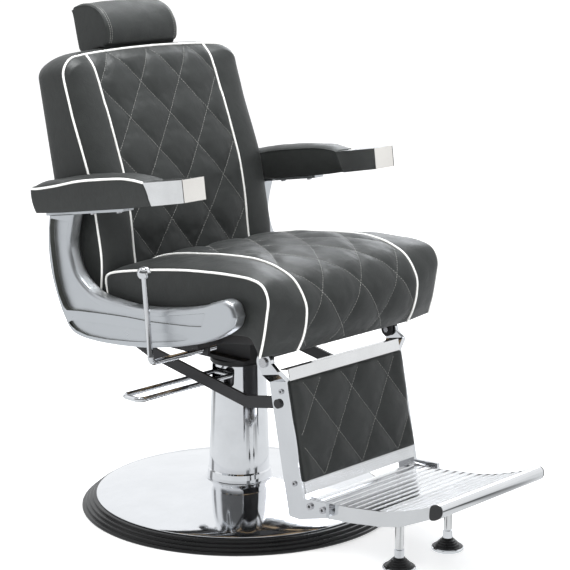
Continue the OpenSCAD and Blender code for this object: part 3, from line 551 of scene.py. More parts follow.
def rim_grid(shape, step):
    """The strip from the border of the upper face to the lower one's, bulged outward."""
    top, bottom = shape["top"], shape["bottom"]
    upper, lower = border(top), border(bottom)
    v = np.linspace(0, 1, max(3, int(round(shape["rim_length"] / step))) + 1)
    along = np.roll(upper, -1, axis=0) - np.roll(upper, 1, axis=0)
    along[0] = along[-1] = upper[1] - upper[-2]
    middle = 0.5 * (top.reshape(-1, 3).mean(0) + bottom.reshape(-1, 3).mean(0))
    outward = unit(np.cross(along, lower - upper), 1e-6)
    side = np.sign(((upper - middle) * outward).sum(1))[:, None]
    outward = outward * np.where(side == 0, 1, side)

    def between(q):
        q = q[None, :, None]
        return upper[:, None] * (1 - q) + lower[:, None] * q

    rim = between(v ** shape.get("ease_power", 1))
    if "even_axis" in shape:
        # along this axis the rim runs evenly, without the easing
        axis = np.array(shape["even_axis"])
        rim = rim + ((between(v) - rim) @ axis)[..., None] * axis
    bulge = np.reshape(shape["bulge"], (-1, 1, 1))
    rim = rim + outward[:, None] * bulge * np.sin(np.pi * v)[None, :, None] ** 0.8
    rim[:, 0], rim[:, -1] = upper, lower
    rim[-1] = rim[0]
    return rim


def simulate(make, step, sim):
    """Displacements of the upper face and of the rim, as grids."""
    shape = make(step)
    top, bottom, rim = shape["top"], shape["bottom"], rim_grid(shape, step)
    points, faces, index = weld([top, bottom, rim])
    sewn_top = shape["sewn"]
    sewn_top[[0, -1]] = 1
    sewn_top[:, [0, -1]] = 1
    sewn_rim = np.full(rim.shape[:2], sim["rim"])
    sewn_rim[:, [0, -1]] = 1
    sewn_bottom = np.ones(bottom.shape[0] * bottom.shape[1])
    weights = np.concatenate([sewn_top.ravel(), sewn_bottom, sewn_rim.ravel()])
    sewn = np.zeros(len(points))
    np.maximum.at(sewn, index, weights)
    shift = inflate(points, faces, sewn, sim)[index]
    top_count = sewn_top.size
    top_shift = soften(shift[:top_count].reshape(top.shape))
    rim_shift = soften(shift[top_count + len(sewn_bottom):].reshape(rim.shape))
    top_shift[[0, -1]] = 0
    top_shift[:, [0, -1]] = 0
    rim_shift[:, [0, -1]] = 0
    rim_shift[0] = rim_shift[-1] = 0.5 * (rim_shift[0] + rim_shift[-1])
    return top_shift, rim_shift


def shell(name, make, body, replaces, material=VINYL, coarse=6.5, fine=3.0, sim=None):
    """A closed cushion. make(step) gives a dict with the upper and lower grids and the rim.

    It is swollen by cloth on a coarse grid and the result carried over to the fine one.
    Returns the finished upper grid and the dict.
    """
    shape = make(fine)
    top, rim = shape["top"], rim_grid(shape, fine)
    if sim:
        top_shift, rim_shift = simulate(make, coarse, sim)
        top = top + resize(top_shift, top.shape)
        rim = rim + resize(rim_shift, rim.shape)
        rim[-1] = rim[0]
    points, faces, _ = weld([top, shape["bottom"], rim])
    obj = add_skin(name, points, faces, material)
    register(obj, body, replaces=replaces)
    obj["grid"] = 1
    return top, shape


# ------------------------------------------------------------------ cords and stitches
CORD = 2.5  # radius of the white piping


def tube(name, paths, radius, material, body, sides=12, closed=False):
    """Round cord along one or more paths."""
    points, faces, base = [], [], 0
    angles = np.linspace(0, 2 * np.pi, sides, endpoint=False)
    for path in paths:
        path = np.asarray(path, float)
        gaps = np.linalg.norm(np.diff(path, axis=0), axis=1)
        path = path[np.concatenate([[True], gaps > 1e-3])]
        count = len(path)
        if closed:
            tangents = unit(np.roll(path, -1, 0) - np.roll(path, 1, 0))
        else:
            tangents = unit(np.gradient(path, axis=0))
        across = np.array([0.31, 0.52, 0.8])
        for place, ahead in zip(path, tangents):
            across = across - ahead * (across @ ahead)
            across /= np.linalg.norm(across)
            points.append(place + radius * (np.cos(angles)[:, None] * across
                                            + np.sin(angles)[:, None] * np.cross(ahead, across)))
        for i in range(count if closed else count - 1):
            row, after = base + i * sides, base + (i + 1) % count * sides
            for k in range(sides):
                k2 = (k + 1) % sides
                faces.append((row + k, after + k, after + k2, row + k2))
        tip = base + count * sides
        if not closed:
            for end, way in ((0, -1), (count - 1, 1)):
                points.append((path[end] + way * tangents[end] * radius * 0.7)[None])
                for k in range(sides):
                    row = base + end * sides
                    face = (row + k, row + (k + 1) % sides, tip)
                    faces.append(face if way > 0 else face[::-1])
                tip += 1
        base = tip
    obj = add_mesh(name, np.concatenate(points), faces, material)
    register(obj, body)


# along the stitch as a part of its length, and thickness as a part of its radius
STITCH_PROFILE = [(-0.5, 0.35), (-0.34, 1.0), (0.34, 1.0), (0.5, 0.35)]


def stitches(name, paths, body, pitch=6.2, length=4.6, radius=0.46):
    """Short sewn stitches along paths of (points, normals)."""
    points, faces, base = [], [], 0
    angles = np.linspace(0, 2 * np.pi, 6, endpoint=False)
    for path, normals in paths:
        s = lengths_along(path)
        for i in range(int((s[-1] - 2) / pitch)):
            c = 1 + pitch * (i + 0.5)
            spots = [c - length / 2, c, c + length / 2]
            start, centre, end = np.array([np.interp(spots, s, path[:, j]) for j in range(3)]).T
            up = unit(np.array([np.interp(c, s, normals[:, j]) for j in range(3)]))
            ahead = end - start
            span = np.linalg.norm(ahead)
            if span < 1:
                continue
            ahead /= span
            side = np.cross(ahead, up)
            for f, thickness in STITCH_PROFILE:
                arch = (1 - (2 * f) ** 2) * 0.35 - 0.15
                middle = centre + ahead * (f * span) + up * arch
                points.append(middle + thickness * radius * (np.cos(angles)[:, None] * up
                                                             + np.sin(angles)[:, None] * side))
            for row in range(base, base + 18, 6):
                for m in range(6):
                    m2 = (m + 1) % 6
                    faces.append((row + m, row + 6 + m, row + 6 + m2, row + m2))
            faces.append(tuple(base + m for m in range(6)))
            faces.append(tuple(base + 18 + m for m in range(5, -1, -1)))
            base += 24
    obj = add_mesh(name, np.concatenate(points), faces, THREAD, recalc=False)
    register(obj, body)


def grid_normals(grid, outward):
    n = unit(np.cross(np.gradient(grid, axis=0), np.gradient(grid, axis=1)))
    return -n if (n.reshape(-1, 3) @ np.array(outward)).mean() < 0 else n


def quilt_paths(top, shape, start, pitch, half, margins, outward):
    """The sewn lines of a diamond lattice laid on a finished upper grid."""
    xs, ss = shape["x"], shape["s"]
    normals = grid_normals(top, outward)
    paths = []
    for slant in (1, -1):
        for k in range(-8, 9):
            s = np.arange(ss[0] + margins[0], ss[-1] - margins[1], 1.5)
            x = 2 * HALF_DIAMOND * (k - slant * (s - start) / (2 * pitch))
            inside = np.abs(x) < half - 4.0
            if inside.sum() < 6:
                continue
            s, x = s[inside], x[inside]
            u = np.interp(s, ss, np.arange(len(ss)))
            v = np.interp(x, xs, np.arange(len(xs)))
            i = np.clip(u.astype(int), 0, len(ss) - 2)
            j = np.clip(v.astype(int), 0, len(xs) - 2)
            a, b = (u - i)[:, None], (v - j)[:, None]
            path = (top[i, j] * (1 - a) * (1 - b) + top[i + 1, j] * a * (1 - b)
                    + top[i, j + 1] * (1 - a) * b + top[i + 1, j + 1] * a * b)
            paths.append((path, normals[i, j]))
    return paths


# ------------------------------------------------------------------ quilted pads
def pad_face(pad, x, u, s):
    """Upper face of a pad with a quilted middle panel and plain side panels.

    Returns the unpadded grid, its (y, z) normals, the padding height and the sewn weights.
    """
    panel = pad["panel"]
    t = np.clip((np.abs(x) - panel) / (pad["half"] - panel), 0, 1)

    def blend(middle, edge, part):
        part = part[None, :, None]
        return middle[:, None] * (1 - part) + edge[:, None] * part

    yz = blend(catmull(pad["middle"], u), catmull(pad["edge"], u), t ** pad["blend_power"])
    normals = blend(profile_normals(pad["middle"], u, pad["flip"]),
                    profile_normals(pad["edge"], u, pad["flip"]), t)
    X, S = np.meshgrid(x, s)
    base = np.dstack([X, yz])
    taper = np.clip(np.minimum(S, s[-1] - S) / pad["end_taper"], 0, 1) ** 0.6
    pillow, to_seam = quilt(X, S, pad["start"], pad["pitch"], 4.2)
    near_panel_edge = 1 - np.exp(-np.clip(panel - np.abs(X), 0, None) / 7.0)
    inside = np.abs(X) <= panel + 0.001
    crown = pad["crown"] * np.cos(np.pi * np.clip(X / (2 * panel), -0.5, 0.5))
    amount, wavelength, seed = pad["side_ripple"]
    side = (pad["side_swell"] * (t ** 0.9 * (1 - t) ** 0.45 / 0.423)[None, :]
            + amount * ripple(base, wavelength, seed) * np.sin(np.pi * t)[None, :])
    height = np.where(inside, pillow * near_panel_edge + crown, side) * taper
    pucker = 0.35 * ripple(base, 17, pad["pucker_seed"]) * np.exp(-to_seam / 9.0)
    height = height + np.where(inside, pucker * near_panel_edge, 0)
    sewn = np.where(inside, np.exp(-(to_seam / SEWN_REACH) ** 2), pad["side_hold"])
    sewn = np.maximum(sewn, np.exp(-((np.abs(X) - panel) / SEWN_REACH) ** 2))
    return base, normals, height, sewn


def seam_path(top, shape, pad, side, at="panel", profile="middle", lift=1.0, out=0.0):
    """The column of the grid over a seam, lifted off the surface."""
    column = int(np.argmin(np.abs(shape["x"] - side * pad[at])))
    lifted = lift * profile_normals(pad[profile], shape["u"], pad["flip"])
    return top[:, column] + np.column_stack([np.full(len(lifted), side * out), lifted])


# ------------------------------------------------------------------ seat cushion
SEAT_TILT = math.radians(7)
SEAT_HEIGHT = 434.7  # of the tilted underside at y = 0


def seat_line(y):
    return SEAT_HEIGHT - y * math.tan(SEAT_TILT) + 1.2


# (y, z) profiles from the rear edge over the top and down the front
SEAT_MIDDLE = [(112, 530), (85, 558), (20, 579), (-90, 594), (-175, 601), (-225, 601),
               (-275, 593), (-320, 573), (-348, 535), (-351, 502), (-343, 465), (-326, 432)]
SEAT_EDGE = [(132, 515), (120, 537), (29, 557), (-89, 575), (-175, 583), (-232, 586),
             (-285, 586), (-318, 577), (-333, 552), (-330, 520), (-322, 475), (-311, 433)]
SEAT_UNDER = ([(118, seat_line(118) + 1)]
              + [(y, seat_line(y)) for y in (90, 20, -60, -130, -180, -215, -240)]
              + [(-262, 467.8), (-282, 466.6), (-296, 452), (-306, 435)])
# (y, z) down the rear corner of the side panel
SEAT_REAR_CORNER = [(132, 515), (125, 484), (120, 455), (119, 430)]
SEAT = dict(middle=SEAT_MIDDLE, edge=SEAT_EDGE, flip=False, panel=172, half=262,
            blend_power=1, start=170.0, pitch=80.0, end_taper=30, crown=2.0,
            side_swell=6.0, side_ripple=(0.7, 70, 2), pucker_seed=1, side_hold=0.86)


def seat_make(step):
    u, s = even_places(SEAT_MIDDLE, step)
    x = columns(SEAT["panel"], SEAT["half"], step)
    top, normals, height, sewn = pad_face(SEAT, x, u, s)
    top[..., 1:] += normals * height[..., None]
    under = catmull(SEAT_UNDER, u)
    X = np.broadcast_to(x * (259.5 / 262), top.shape[:2])
    bottom = np.dstack([X, *(np.broadcast_to(under[:, None, k], X.shape) for k in (0, 1))])
    # room for the back arms and the link bars
    depth = (bottom[..., 1] * math.cos(SEAT_TILT)
             - (bottom[..., 2] - SEAT_HEIGHT) * math.sin(SEAT_TILT))
    raised = (np.abs(X) > 154) & (np.abs(X) < 192) & (depth > 78)
    bottom[..., 2] = np.where(raised, bottom[..., 2] + 14.5, bottom[..., 2])
    return dict(top=top, bottom=bottom, sewn=sewn, rim_length=110, bulge=2.4, x=x, s=s, u=u)


def build_seat():
    top, shape = shell("seat_cushion_upholstery", seat_make, "seat", "seat_cushion",
                       sim=dict(pressure=1.8, cap=3.2, swell=0.008, rim=0.9))
    lines = quilt_paths(top, shape, SEAT["start"], SEAT["pitch"], SEAT["panel"],
                        margins=(5, 5), outward=(0, -0.3, 1))
    stitches("seat_quilting_stitches", lines, "seat")
    paths = [seam_path(top, shape, SEAT, side) for side in (-1, 1)]
    for side in (-1, 1):
        path = seam_path(top, shape, SEAT, side, at="half", profile="edge", lift=0.7, out=0.8)
        tail = catmull(SEAT_REAR_CORNER, np.linspace(0, 3, 30)[1:])
        tail = np.stack([np.full(len(tail), side * 262.4), tail[:, 0] + 0.6, tail[:, 1]], 1)
        paths.append(np.concatenate([tail[::-1], path]))
    tube("seat_piping", paths, CORD, PIPING, "seat")


build_seat()


# ------------------------------------------------------------------ backrest
BACK_TILT = math.radians(11.7)
BACK_ORIGIN = (265, 480)  # (y, z) of the backrest's own frame


def back_local(p):
    """Chair axes to the backrest's own frame."""
    y, z = p[..., 1] - BACK_ORIGIN[0], p[..., 2] - BACK_ORIGIN[1]
    cos, sin = math.cos(BACK_TILT), math.sin(BACK_TILT)
    return np.stack([p[..., 0], y * cos - z * sin, y * sin + z * cos], -1)


def back_global(p):
    return tilted(p, BACK_ORIGIN, BACK_TILT)


# (y, z) profiles of the front face, from the bottom up
BACK_MIDDLE = [(134, 480), (136, 510), (138, 540), (143, 577), (151, 645), (162, 701), (171, 736),
               (187, 780), (213, 848), (229, 884), (246, 925), (261, 953), (285, 975)]
BACK_EDGE = [(158, 480), (155, 510), (153, 540), (155, 577), (168, 645), (180, 701), (189, 736),
             (206, 780), (234, 848), (247, 886), (260, 925), (266, 950), (274, 973)]
BACK = dict(middle=BACK_MIDDLE, edge=BACK_EDGE, flip=True, panel=175, half=256,
            blend_power=1.15, start=69.0, pitch=76.0, end_taper=26, crown=3.0,
            side_swell=14.0, side_ripple=(0.5, 110, 5), pucker_seed=3, side_hold=0.9)
CORNER_WIDTH, CORNER_HEIGHT = 54.0, 37.0
BACK_REAR_HALF = 247.0
BACK_REAR_LOW, BACK_REAR_HIGH = 3.0, 487.0


def back_make(step):
    half = BACK["half"]
    u, s = even_places(BACK_MIDDLE, step)
    x = columns(BACK["panel"], half, step * 0.8, CORNER_WIDTH)
    base, normals, height, sewn = pad_face(BACK, x, u, s)
    # the top edge rises a little to the middle
    rise = np.clip((s[:, None] / s[-1] - 0.8) / 0.2, 0, 1) ** 2
    base[..., 2] += 7.0 * rise * np.clip(1 - (base[..., 0] / 200) ** 2, 0, 1)
    # rounded corners in the front view
    local = back_local(base)
    low = local[0, :, 2].copy()
    across = np.clip((np.abs(x) - (half - CORNER_WIDTH)) / CORNER_WIDTH, 0, 1)
    drop = CORNER_HEIGHT * (1 - np.sqrt(np.clip(1 - across ** 2, 0, 1)))
    tall = local[-1, :, 2] - low
    new_z = low[None] + (local[..., 2] - low[None]) * ((tall - drop) / tall)[None]
    # the profile keeps its own lean: read y again at the new height
    for j in range(len(x)):
        if drop[j] > 0:
            local[:, j, 1] = np.interp(new_z[:, j], local[:, j, 2], local[:, j, 1])
    local[..., 2] = new_z
    top = back_global(local)
    top[..., 1:] += normals * height[..., None]
    rear = local.copy()
    rear[..., 0] = local[..., 0] * (BACK_REAR_HALF / half)
    rear[..., 1] = -3.0
    rear[..., 2] = (BACK_REAR_LOW + (local[..., 2] - low[None]) / tall[None]
                    * (BACK_REAR_HIGH - BACK_REAR_LOW))
    # the rim is fuller along the top edge
    edge = border(top)
    bulge = (2.2 + 7.0 * np.clip((back_local(edge)[:, 2] - 440) / 40, 0, 1) ** 2
             * np.clip((half - np.abs(edge[:, 0])) / 60, 0, 1))
    return dict(top=top, bottom=back_global(rear), sewn=sewn, rim_length=90, bulge=bulge,
                ease_power=5, even_axis=(0, math.cos(BACK_TILT), -math.sin(BACK_TILT)),
                x=x, s=s, u=u)


def build_back():
    top, shape = shell("back_cushion_upholstery", back_make, "back", "back_cushion",
                       sim=dict(pressure=1.8, cap=3.2, swell=0.008, rim=0.85))
    lines = quilt_paths(top, shape, BACK["start"], BACK["pitch"], BACK["panel"],
                        margins=(5, 4), outward=(0, -1, 0.2))
    stitches("back_quilting_stitches", lines, "back")
    paths = [seam_path(top, shape, BACK, side) for side in (-1, 1)]
    # up one side, over the top and down the other
    edge = np.concatenate([top[:, 0], top[-1][1:], top[::-1, -1][1:]])
    outward = edge - np.array([0, 240, 720.0])
    outward[:, 1] = 0
    outward /= np.linalg.norm(outward, axis=1, keepdims=True)
    paths.append(edge + outward * 0.8 + np.array([0, -0.8, 0.1]))
    tube("back_piping", paths, CORD, PIPING, "back")


build_back()

# rear cover: a padded board let into the back, with its own seam cord
COVER_HALF = 226
COVER_LOW, COVER_HIGH = 10, 448
COVER_MIDDLE = (COVER_LOW + COVER_HIGH) / 2
COVER_HALF_HEIGHT = (COVER_HIGH - COVER_LOW) / 2
COVER_FACE = -2.6  # y of its border in the backrest's frame


def rear_make(step):
    x = even_columns(COVER_HALF, step)
    rows = int((COVER_HIGH - COVER_LOW) / step) + 1
    X, Z = np.meshgrid(x, np.linspace(COVER_LOW, COVER_HIGH, rows))
    across, upward = np.abs(X) / COVER_HALF, np.abs(Z - COVER_MIDDLE) / COVER_HALF_HEIGHT
    # the corners are pulled in
    scale = 1 - 0.055 * across ** 8 * upward ** 8
    X2, Z2 = X * scale, COVER_MIDDLE + (Z - COVER_MIDDLE) * scale
    height = 3.2 * (1 - across) ** 0.35 * (1 - upward) ** 0.35
    face = np.dstack([X2, COVER_FACE + height, Z2])
    face[..., 1] += 0.25 * ripple(face, 120, 4)
    face[[0, -1], :, 1] = COVER_FACE
    face[:, [0, -1], 1] = COVER_FACE
    inner = np.dstack([X2, np.full_like(X, -8.0), Z2])
    return dict(top=back_global(face), bottom=back_global(inner), rim_length=8, bulge=0.3)


cover_top, _ = shell("back_rear_cover", rear_make, "back", "back_panel",
                     material=VINYL_BACK, fine=6)
tube("back_rear_seam_cord", [border(cover_top)[:-1] + np.array([0, 0.4, 0.0])], 1.9,
     VINYL_BACK, "back", closed=True)


# ------------------------------------------------------------------ headrest
# (y, z) in the backrest's frame: the front and top, then the underside and rear
HEAD_FRONT = [(-66, 504.5), (-80, 513), (-86, 535), (-83, 556), (-73, 577), (-57, 592),
              (-34, 602.5), (-8, 606), (10, 604), (20, 597)]
HEAD_REAR = [(-60, 504), (-40, 503.5), (-16, 503.5), (8, 504), (17, 509), (19, 524),
             (20, 545), (20.5, 565), (21, 582), (20.6, 593)]
HEAD_PANEL, HEAD_HALF, HEAD_CORNER = 84, 103, 15.0


def head_make(step):
    u, s = even_places(HEAD_FRONT, step)
    x = columns(HEAD_PANEL, HEAD_HALF, step, HEAD_CORNER)
    X, S = np.meshgrid(x, s)
    front, rear = catmull(HEAD_FRONT, u)[:, None], catmull(HEAD_REAR, u)[:, None]
    normals = profile_normals(HEAD_FRONT, u, True)[:, None]
    taper = np.clip(np.minimum(S, s[-1] - S) / 24, 0, 1) ** 0.7
    from_end = np.clip((HEAD_HALF - np.abs(X)) / HEAD_CORNER, 0, 1)
    rounding = -5.0 * (1 - np.sqrt(np.clip(1 - (1 - from_end) ** 2, 0, 1)))
    height = rounding * taper + (2.0 * np.cos(np.pi * X / 230)) * taper

    def sheet(xs, y, z):
        return np.dstack([xs, np.broadcast_to(y, X.shape), np.broadcast_to(z, X.shape)])

    height += 0.5 * ripple(sheet(X, front[..., 0], front[..., 1]), 60, 7) * taper * from_end
    top = sheet(X, front[..., 0] + normals[..., 0] * height,
                front[..., 1] + normals[..., 1] * height)
    bottom = sheet(X * 0.995, rear[..., 0], rear[..., 1])
    return dict(top=back_global(top), bottom=back_global(bottom), sewn=np.zeros(X.shape),
                rim_length=60, bulge=3.5, x=x)


def build_headrest():
    top, shape = shell("headrest_upholstery", head_make, "headrest", "headrest_pad",
                       coarse=5.0, fine=2.5, sim=dict(pressure=2.5, cap=3.0, rim=0.9))
    normals = grid_normals(top, (0, -1, 0.4))
    paths = []
    for side in (-1, 1):
        for inset in (5.0, 10.5):
            j = int(np.argmin(np.abs(shape["x"] - side * (HEAD_HALF - inset))))
            paths.append((top[4:-3, j], normals[4:-3, j]))
    stitches("headrest_topstitch", paths, "headrest", pitch=5.0, length=3.8, radius=0.42)
    welts = [top[2:-2, j] + np.array([dx, 0, 0]) for j, dx in ((0, -0.2), (-1, 0.2))]
    tube("headrest_end_welt", welts, 1.3, VINYL, "headrest", sides=8)


build_headrest()

# ------------------------------------------------------------------ cast side frames
# (y, z) outlines. The lower and upper edges run from the top of the rear to the front tip.
FRAME_LOWER = [(262, 647.8), (267, 606), (266, 563), (258, 521), (243, 480), (222, 439),
               (191, 406), (120, 398.6), (0, 407), (-100, 424), (-165, 440.5), (-205, 452.5),
               (-237, 466.5), (-260, 480), (-279, 495), (-287, 516)]
FRAME_UPPER = [(184, 660.4), (193, 627), (198, 594), (191, 564), (178, 538), (154, 517),
               (115, 500), (39, 493), (-36, 495), (-138, 511), (-194, 525), (-220, 535),
               (-246, 544), (-262, 545), (-277, 538), (-287, 516)]
FRAME_RECESS = [(254, 644), (257, 625), (257, 594), (253, 561), (245, 518), (233, 483),
                (219, 459), (209, 452), (162, 457), (85, 463), (20, 467), (-53, 469),
                (-115, 474), (-159, 478), (-196, 483), (-203, 502), (-207, 514), (-138, 499),
                (-71, 485), (-8, 477), (43, 474), (85, 475), (132, 486), (168, 507),
                (190, 535), (203, 568), (206, 601), (201, 628), (195, 644)]
FRAME_LEAF = [(203, 427), (194, 432), (153, 437), (105, 441), (48, 444), (-7, 447),
              (-62, 452), (-106, 455), (-141, 457), (-157, 455), (-152, 449), (-124, 442),
              (-61, 429), (12, 418), (87, 410), (144, 408), (178, 413), (196, 421)]
# recess depth: (two y stations), (depth at each)
RECESS_DEPTH = (60, 215), (3.6, 11.6)
LEAF_DEPTH = (-160, 205), (2.5, 6.5)
FRAME_OUTSIDE, FRAME_INSIDE = 308.0, 272.0  # x of the two faces
FRAME_ROUND = 9.0
EDGE_STEPS = np.array([0, 0.25, 0.9, 1.9, 3.3, 5.0, 7.0, 9.5])  # columns near an edge


def line_distance(points, line):
    """Distance from each point to an open polyline."""
    start = line[:-1]
    d = line[1:] - start
    q = points[:, None] - start[None]
    t = np.clip((q * d).sum(-1) / np.maximum((d * d).sum(-1), 1e-9), 0, 1)
    return np.sqrt((((q - t[..., None] * d) ** 2).sum(-1)).min(1))


def rounded_loop(outline, radius):
    """Closed outline with each corner eased by about the radius."""
    p = np.array(outline, float)
    rounded = []
    for i in range(len(p)):
        a, b, c = p[i - 1], p[i], p[(i + 1) % len(p)]
        before, after = a - b, c - b
        length_a, length_c = np.linalg.norm(before), np.linalg.norm(after)
        k = min(radius, length_a * 0.45, length_c * 0.45)
        start, end = b + before / length_a * k, b + after / length_c * k
        for t in np.linspace(0, 1, 4):
            rounded.append((1 - t) ** 2 * start + 2 * t * (1 - t) * b + t * t * end)
    return np.array(rounded)


def cutter(name, outline, depth, draft):
    """Prism from outside the frame to the recess floor, drawn in there by the draft."""
    along = np.roll(outline, -1, 0) - np.roll(outline, 1, 0)
    n = np.stack([along[:, 1], -along[:, 0]], 1)
    n /= np.linalg.norm(n, axis=1, keepdims=True)
    y, z = outline[:, 0], outline[:, 1]
    area = 0.5 * (y * np.roll(z, -1) - z * np.roll(y, -1)).sum()
    floor_loop = outline + n * (-1 if area > 0 else 1) * draft
    floor_x = FRAME_OUTSIDE - np.interp(floor_loop[:, 0], *depth)
    k = len(outline)
    points = np.vstack([np.column_stack([np.full(k, 312.0), outline]),
                        np.column_stack([floor_x, floor_loop])])
    faces = [list(range(k)), list(range(2 * k - 1, k - 1, -1))]
    faces += [[i, k + i, k + (i + 1) % k, (i + 1) % k] for i in range(k)]
    return add_mesh(name, points, faces, smooth=False, triangulate=True)


def frame_skin(name, lower, upper):
    """The left side frame with rounded edges, before the recesses are cut."""
    width = np.linalg.norm(lower - upper, axis=1)
    squeeze = np.clip(width / (2.3 * FRAME_ROUND), 0.02, 1)
    rows = []
    for k, w in zip(squeeze, width):
        near = np.clip(EDGE_STEPS * k / max(w, 1e-6), 0, 0.49)
        middle = np.linspace(near[-1], 1 - near[-1], 6)[1:-1]
        rows.append(np.concatenate([near, middle, 1 - near[::-1]]))
    v = np.array(rows)
    grid = lower[:, None] * (1 - v[..., None]) + upper[:, None] * v[..., None]
    flat = grid.reshape(-1, 2)
    depth = np.minimum(line_distance(flat, lower), line_distance(flat, upper)).reshape(v.shape)
    depth[:, 0] = depth[:, -1] = 0
    depth[-1] = 0

    def face(x, out):
        r = FRAME_ROUND
        q = np.clip(depth, 0, r)
        arc = -r + np.sqrt(np.clip(r * r - (r - q) ** 2, 0, None))
        return np.dstack([x + out * arc, grid])

    outside, inside = face(FRAME_OUTSIDE, 1), face(FRAME_INSIDE, -1)
    t = np.linspace(0, 1, 4)[None, :, None]
    rim = border(outside)[:, None] * (1 - t) + border(inside)[:, None] * t
    points, faces, _ = weld([outside, inside, rim])
    return add_skin(name, points, faces, CAST)


def casting(side, name, node):
    u = np.linspace(0, len(FRAME_LOWER) - 1, 300)
    lower, upper = catmull(FRAME_LOWER, u), catmull(FRAME_UPPER, u)
    obj = frame_skin(name, lower, upper)
    cutters = [cutter("cut_a", rounded_loop(FRAME_RECESS, 3.5), RECESS_DEPTH, draft=1.2),
               cutter("cut_b", rounded_loop(FRAME_LEAF, 2.5), LEAF_DEPTH, draft=0.0)]
    for tool in cutters:
        cut = obj.modifiers.new("cut", "BOOLEAN")
        cut.object = tool
        cut.operation = "DIFFERENCE"
        cut.solver = "EXACT"
    bpy.context.view_layer.update()
    evaluated = obj.evaluated_get(bpy.context.evaluated_depsgraph_get())
    mesh = bpy.data.meshes.new_from_object(evaluated)
    obj.modifiers.clear()
    obj.data = mesh
    for tool in cutters:
        remove_with_mesh(tool)
    if side < 0:
        points = np.zeros(len(mesh.vertices) * 3)
        mesh.vertices.foreach_get("co", points)
        mesh.vertices.foreach_set("co", (points.reshape(-1, 3) * [-1, 1, 1]).ravel())
        mesh.flip_normals()
    dress(obj, CAST, angle=28.0)
    # the walls of the recesses get a dark metal: painted shade in the recesses
    mesh.materials.append(CAST_RECESS_SHADE)
    outline = np.concatenate([lower, upper[::-1]])
    for face in mesh.polygons:
        if 0.2945 < abs(face.center.x) < 0.3079 and abs(face.normal.x) < 0.3:
            centre = np.array([[face.center.y / MM, face.center.z / MM]])
            if line_distance(centre, outline)[0] > 4.0:
                face.material_index = 1
    obj.modifiers.new("flat", "WEIGHTED_NORMAL").weight = 90
    register(obj, "seat", node)


SIDES = ((1, "left"), (-1, "right"))
for side, side_name in SIDES:
    casting(side, f"side_frame_{side_name}_casting", f"side_frame_{side_name}")

# ------------------------------------------------------------------ armrests
# (y, z) from the front to the rear; the crown is (y, height at the middle)
ARM_BOTTOM = [(-66, 711.1), (-6, 698.3), (94, 681.4), (214, 661.4), (297, 650)]
ARM_TOP = [(-44.3, 754.6), (-14.6, 756.5), (23, 755), (92.5, 745.2), (155.6, 734),
           (228.6, 715.5), (286.6, 703.4), (312, 702.3)]
ARM_CROWN = [(-44.3, 3.0), (-10, 7), (54, 9), (171, 12.5), (255, 15), (295, 11), (312, 4.0)]
ARM_X = 290.5
ARM_LENGTH = 356.0
ARM_HALF = 29.3
ARM_CORNER = 15.0


def smooth_height(table, y):
    """Second column of a table at y, along a smooth curve."""
    curve = catmull(table, np.linspace(0, len(table) - 1, 40 * len(table)))
    order = np.argsort(curve[:, 0])
    return np.interp(y, curve[order, 0], curve[order, 1])


def arm_make(side, step):
    v = np.linspace(0, 1, int(ARM_LENGTH / step) + 1)
    edge = 1 - 0.12 * (1 - np.cos(np.linspace(np.pi / 2, 0, 4)))
    x = np.concatenate([-edge, np.linspace(-0.86, 0.86, max(6, int(52 / step))), edge])
    X, V = np.meshgrid(np.unique(np.round(x, 5)), v)
    # the outline is rounded at the rear corners
    to_rear = (1 - V) * ARM_LENGTH
    r = ARM_CORNER
    arc = np.sqrt(np.clip(r * r - (r - np.clip(to_rear, 0, r)) ** 2, 0, None))
    half = np.where(to_rear < r, ARM_HALF - r + arc, ARM_HALF)
    y_top = -44.6 + V * (312.0 + 44.6)
    across = np.clip(1 - np.abs(X) ** 2.6, 0, 1) ** 0.72
    rear_taper = np.clip(to_rear / 22, 0, 1) ** 0.5
    crown = smooth_height(ARM_CROWN, y_top) * across * rear_taper
    top = np.dstack([side * ARM_X + X * half, y_top, smooth_height(ARM_TOP, y_top) + crown])
    top[..., 2] += 0.5 * ripple(top, 60, 6) * across * rear_taper
    y_bottom = -66 + V * (298.0 + 66)
    bottom = np.dstack([side * ARM_X + X * (half - 1.5) * np.where(to_rear < r, 0.98, 1),
                        y_bottom, smooth_height(ARM_BOTTOM, y_bottom) + 0.6])
    return dict(top=top, bottom=bottom, sewn=np.zeros(X.shape), rim_length=46, bulge=3.2)


def build_arm(side, side_name):
    top, _ = shell(f"arm_pad_{side_name}_upholstery", functools.partial(arm_make, side),
                   "seat", f"arm_pad_{side_name}", coarse=4.5, fine=2.6,
                   sim=dict(pressure=2.0, cap=3.0, rim=0.8))
    outer, inner = (-1, 0) if side > 0 else (0, -1)
    rear_end = top[-1][::-1] if side > 0 else top[-1]
    path = np.concatenate([top[:, outer], rear_end[1:]]) + np.array([side * 0.3, 0.2, 0.6])
    tube(f"arm_piping_{side_name}", [path], CORD, PIPING, "seat")
    joint = [(side * 319.95, -157.0, 773.4), (side * 319.95, -163.0, 729.3)]
    tube(f"arm_cap_joint_{side_name}", [joint], 0.75, BLACK, "seat", sides=8)
    # seam of the vinyl on the inner edge
    seam = top[2:, inner] + np.array([-side * 0.1, 0, 0.3])
    tube(f"arm_seam_{side_name}", [seam], 1.1, VINYL, "seat", sides=8)


for side, side_name in SIDES:
    build_arm(side, side_name)

# ------------------------------------------------------------------ legrest
LEG_TILT = math.atan(51 / 251)
LEG_ORIGIN = (-302, 391)  # (y, z) of the legrest's own frame
LEG_START, LEG_PITCH = 29.0, 79.5  # quilting lattice, measured from z = -256
LEG_ZERO = 256


def leg_global(p):
    return tilted(p, LEG_ORIGIN, LEG_TILT)


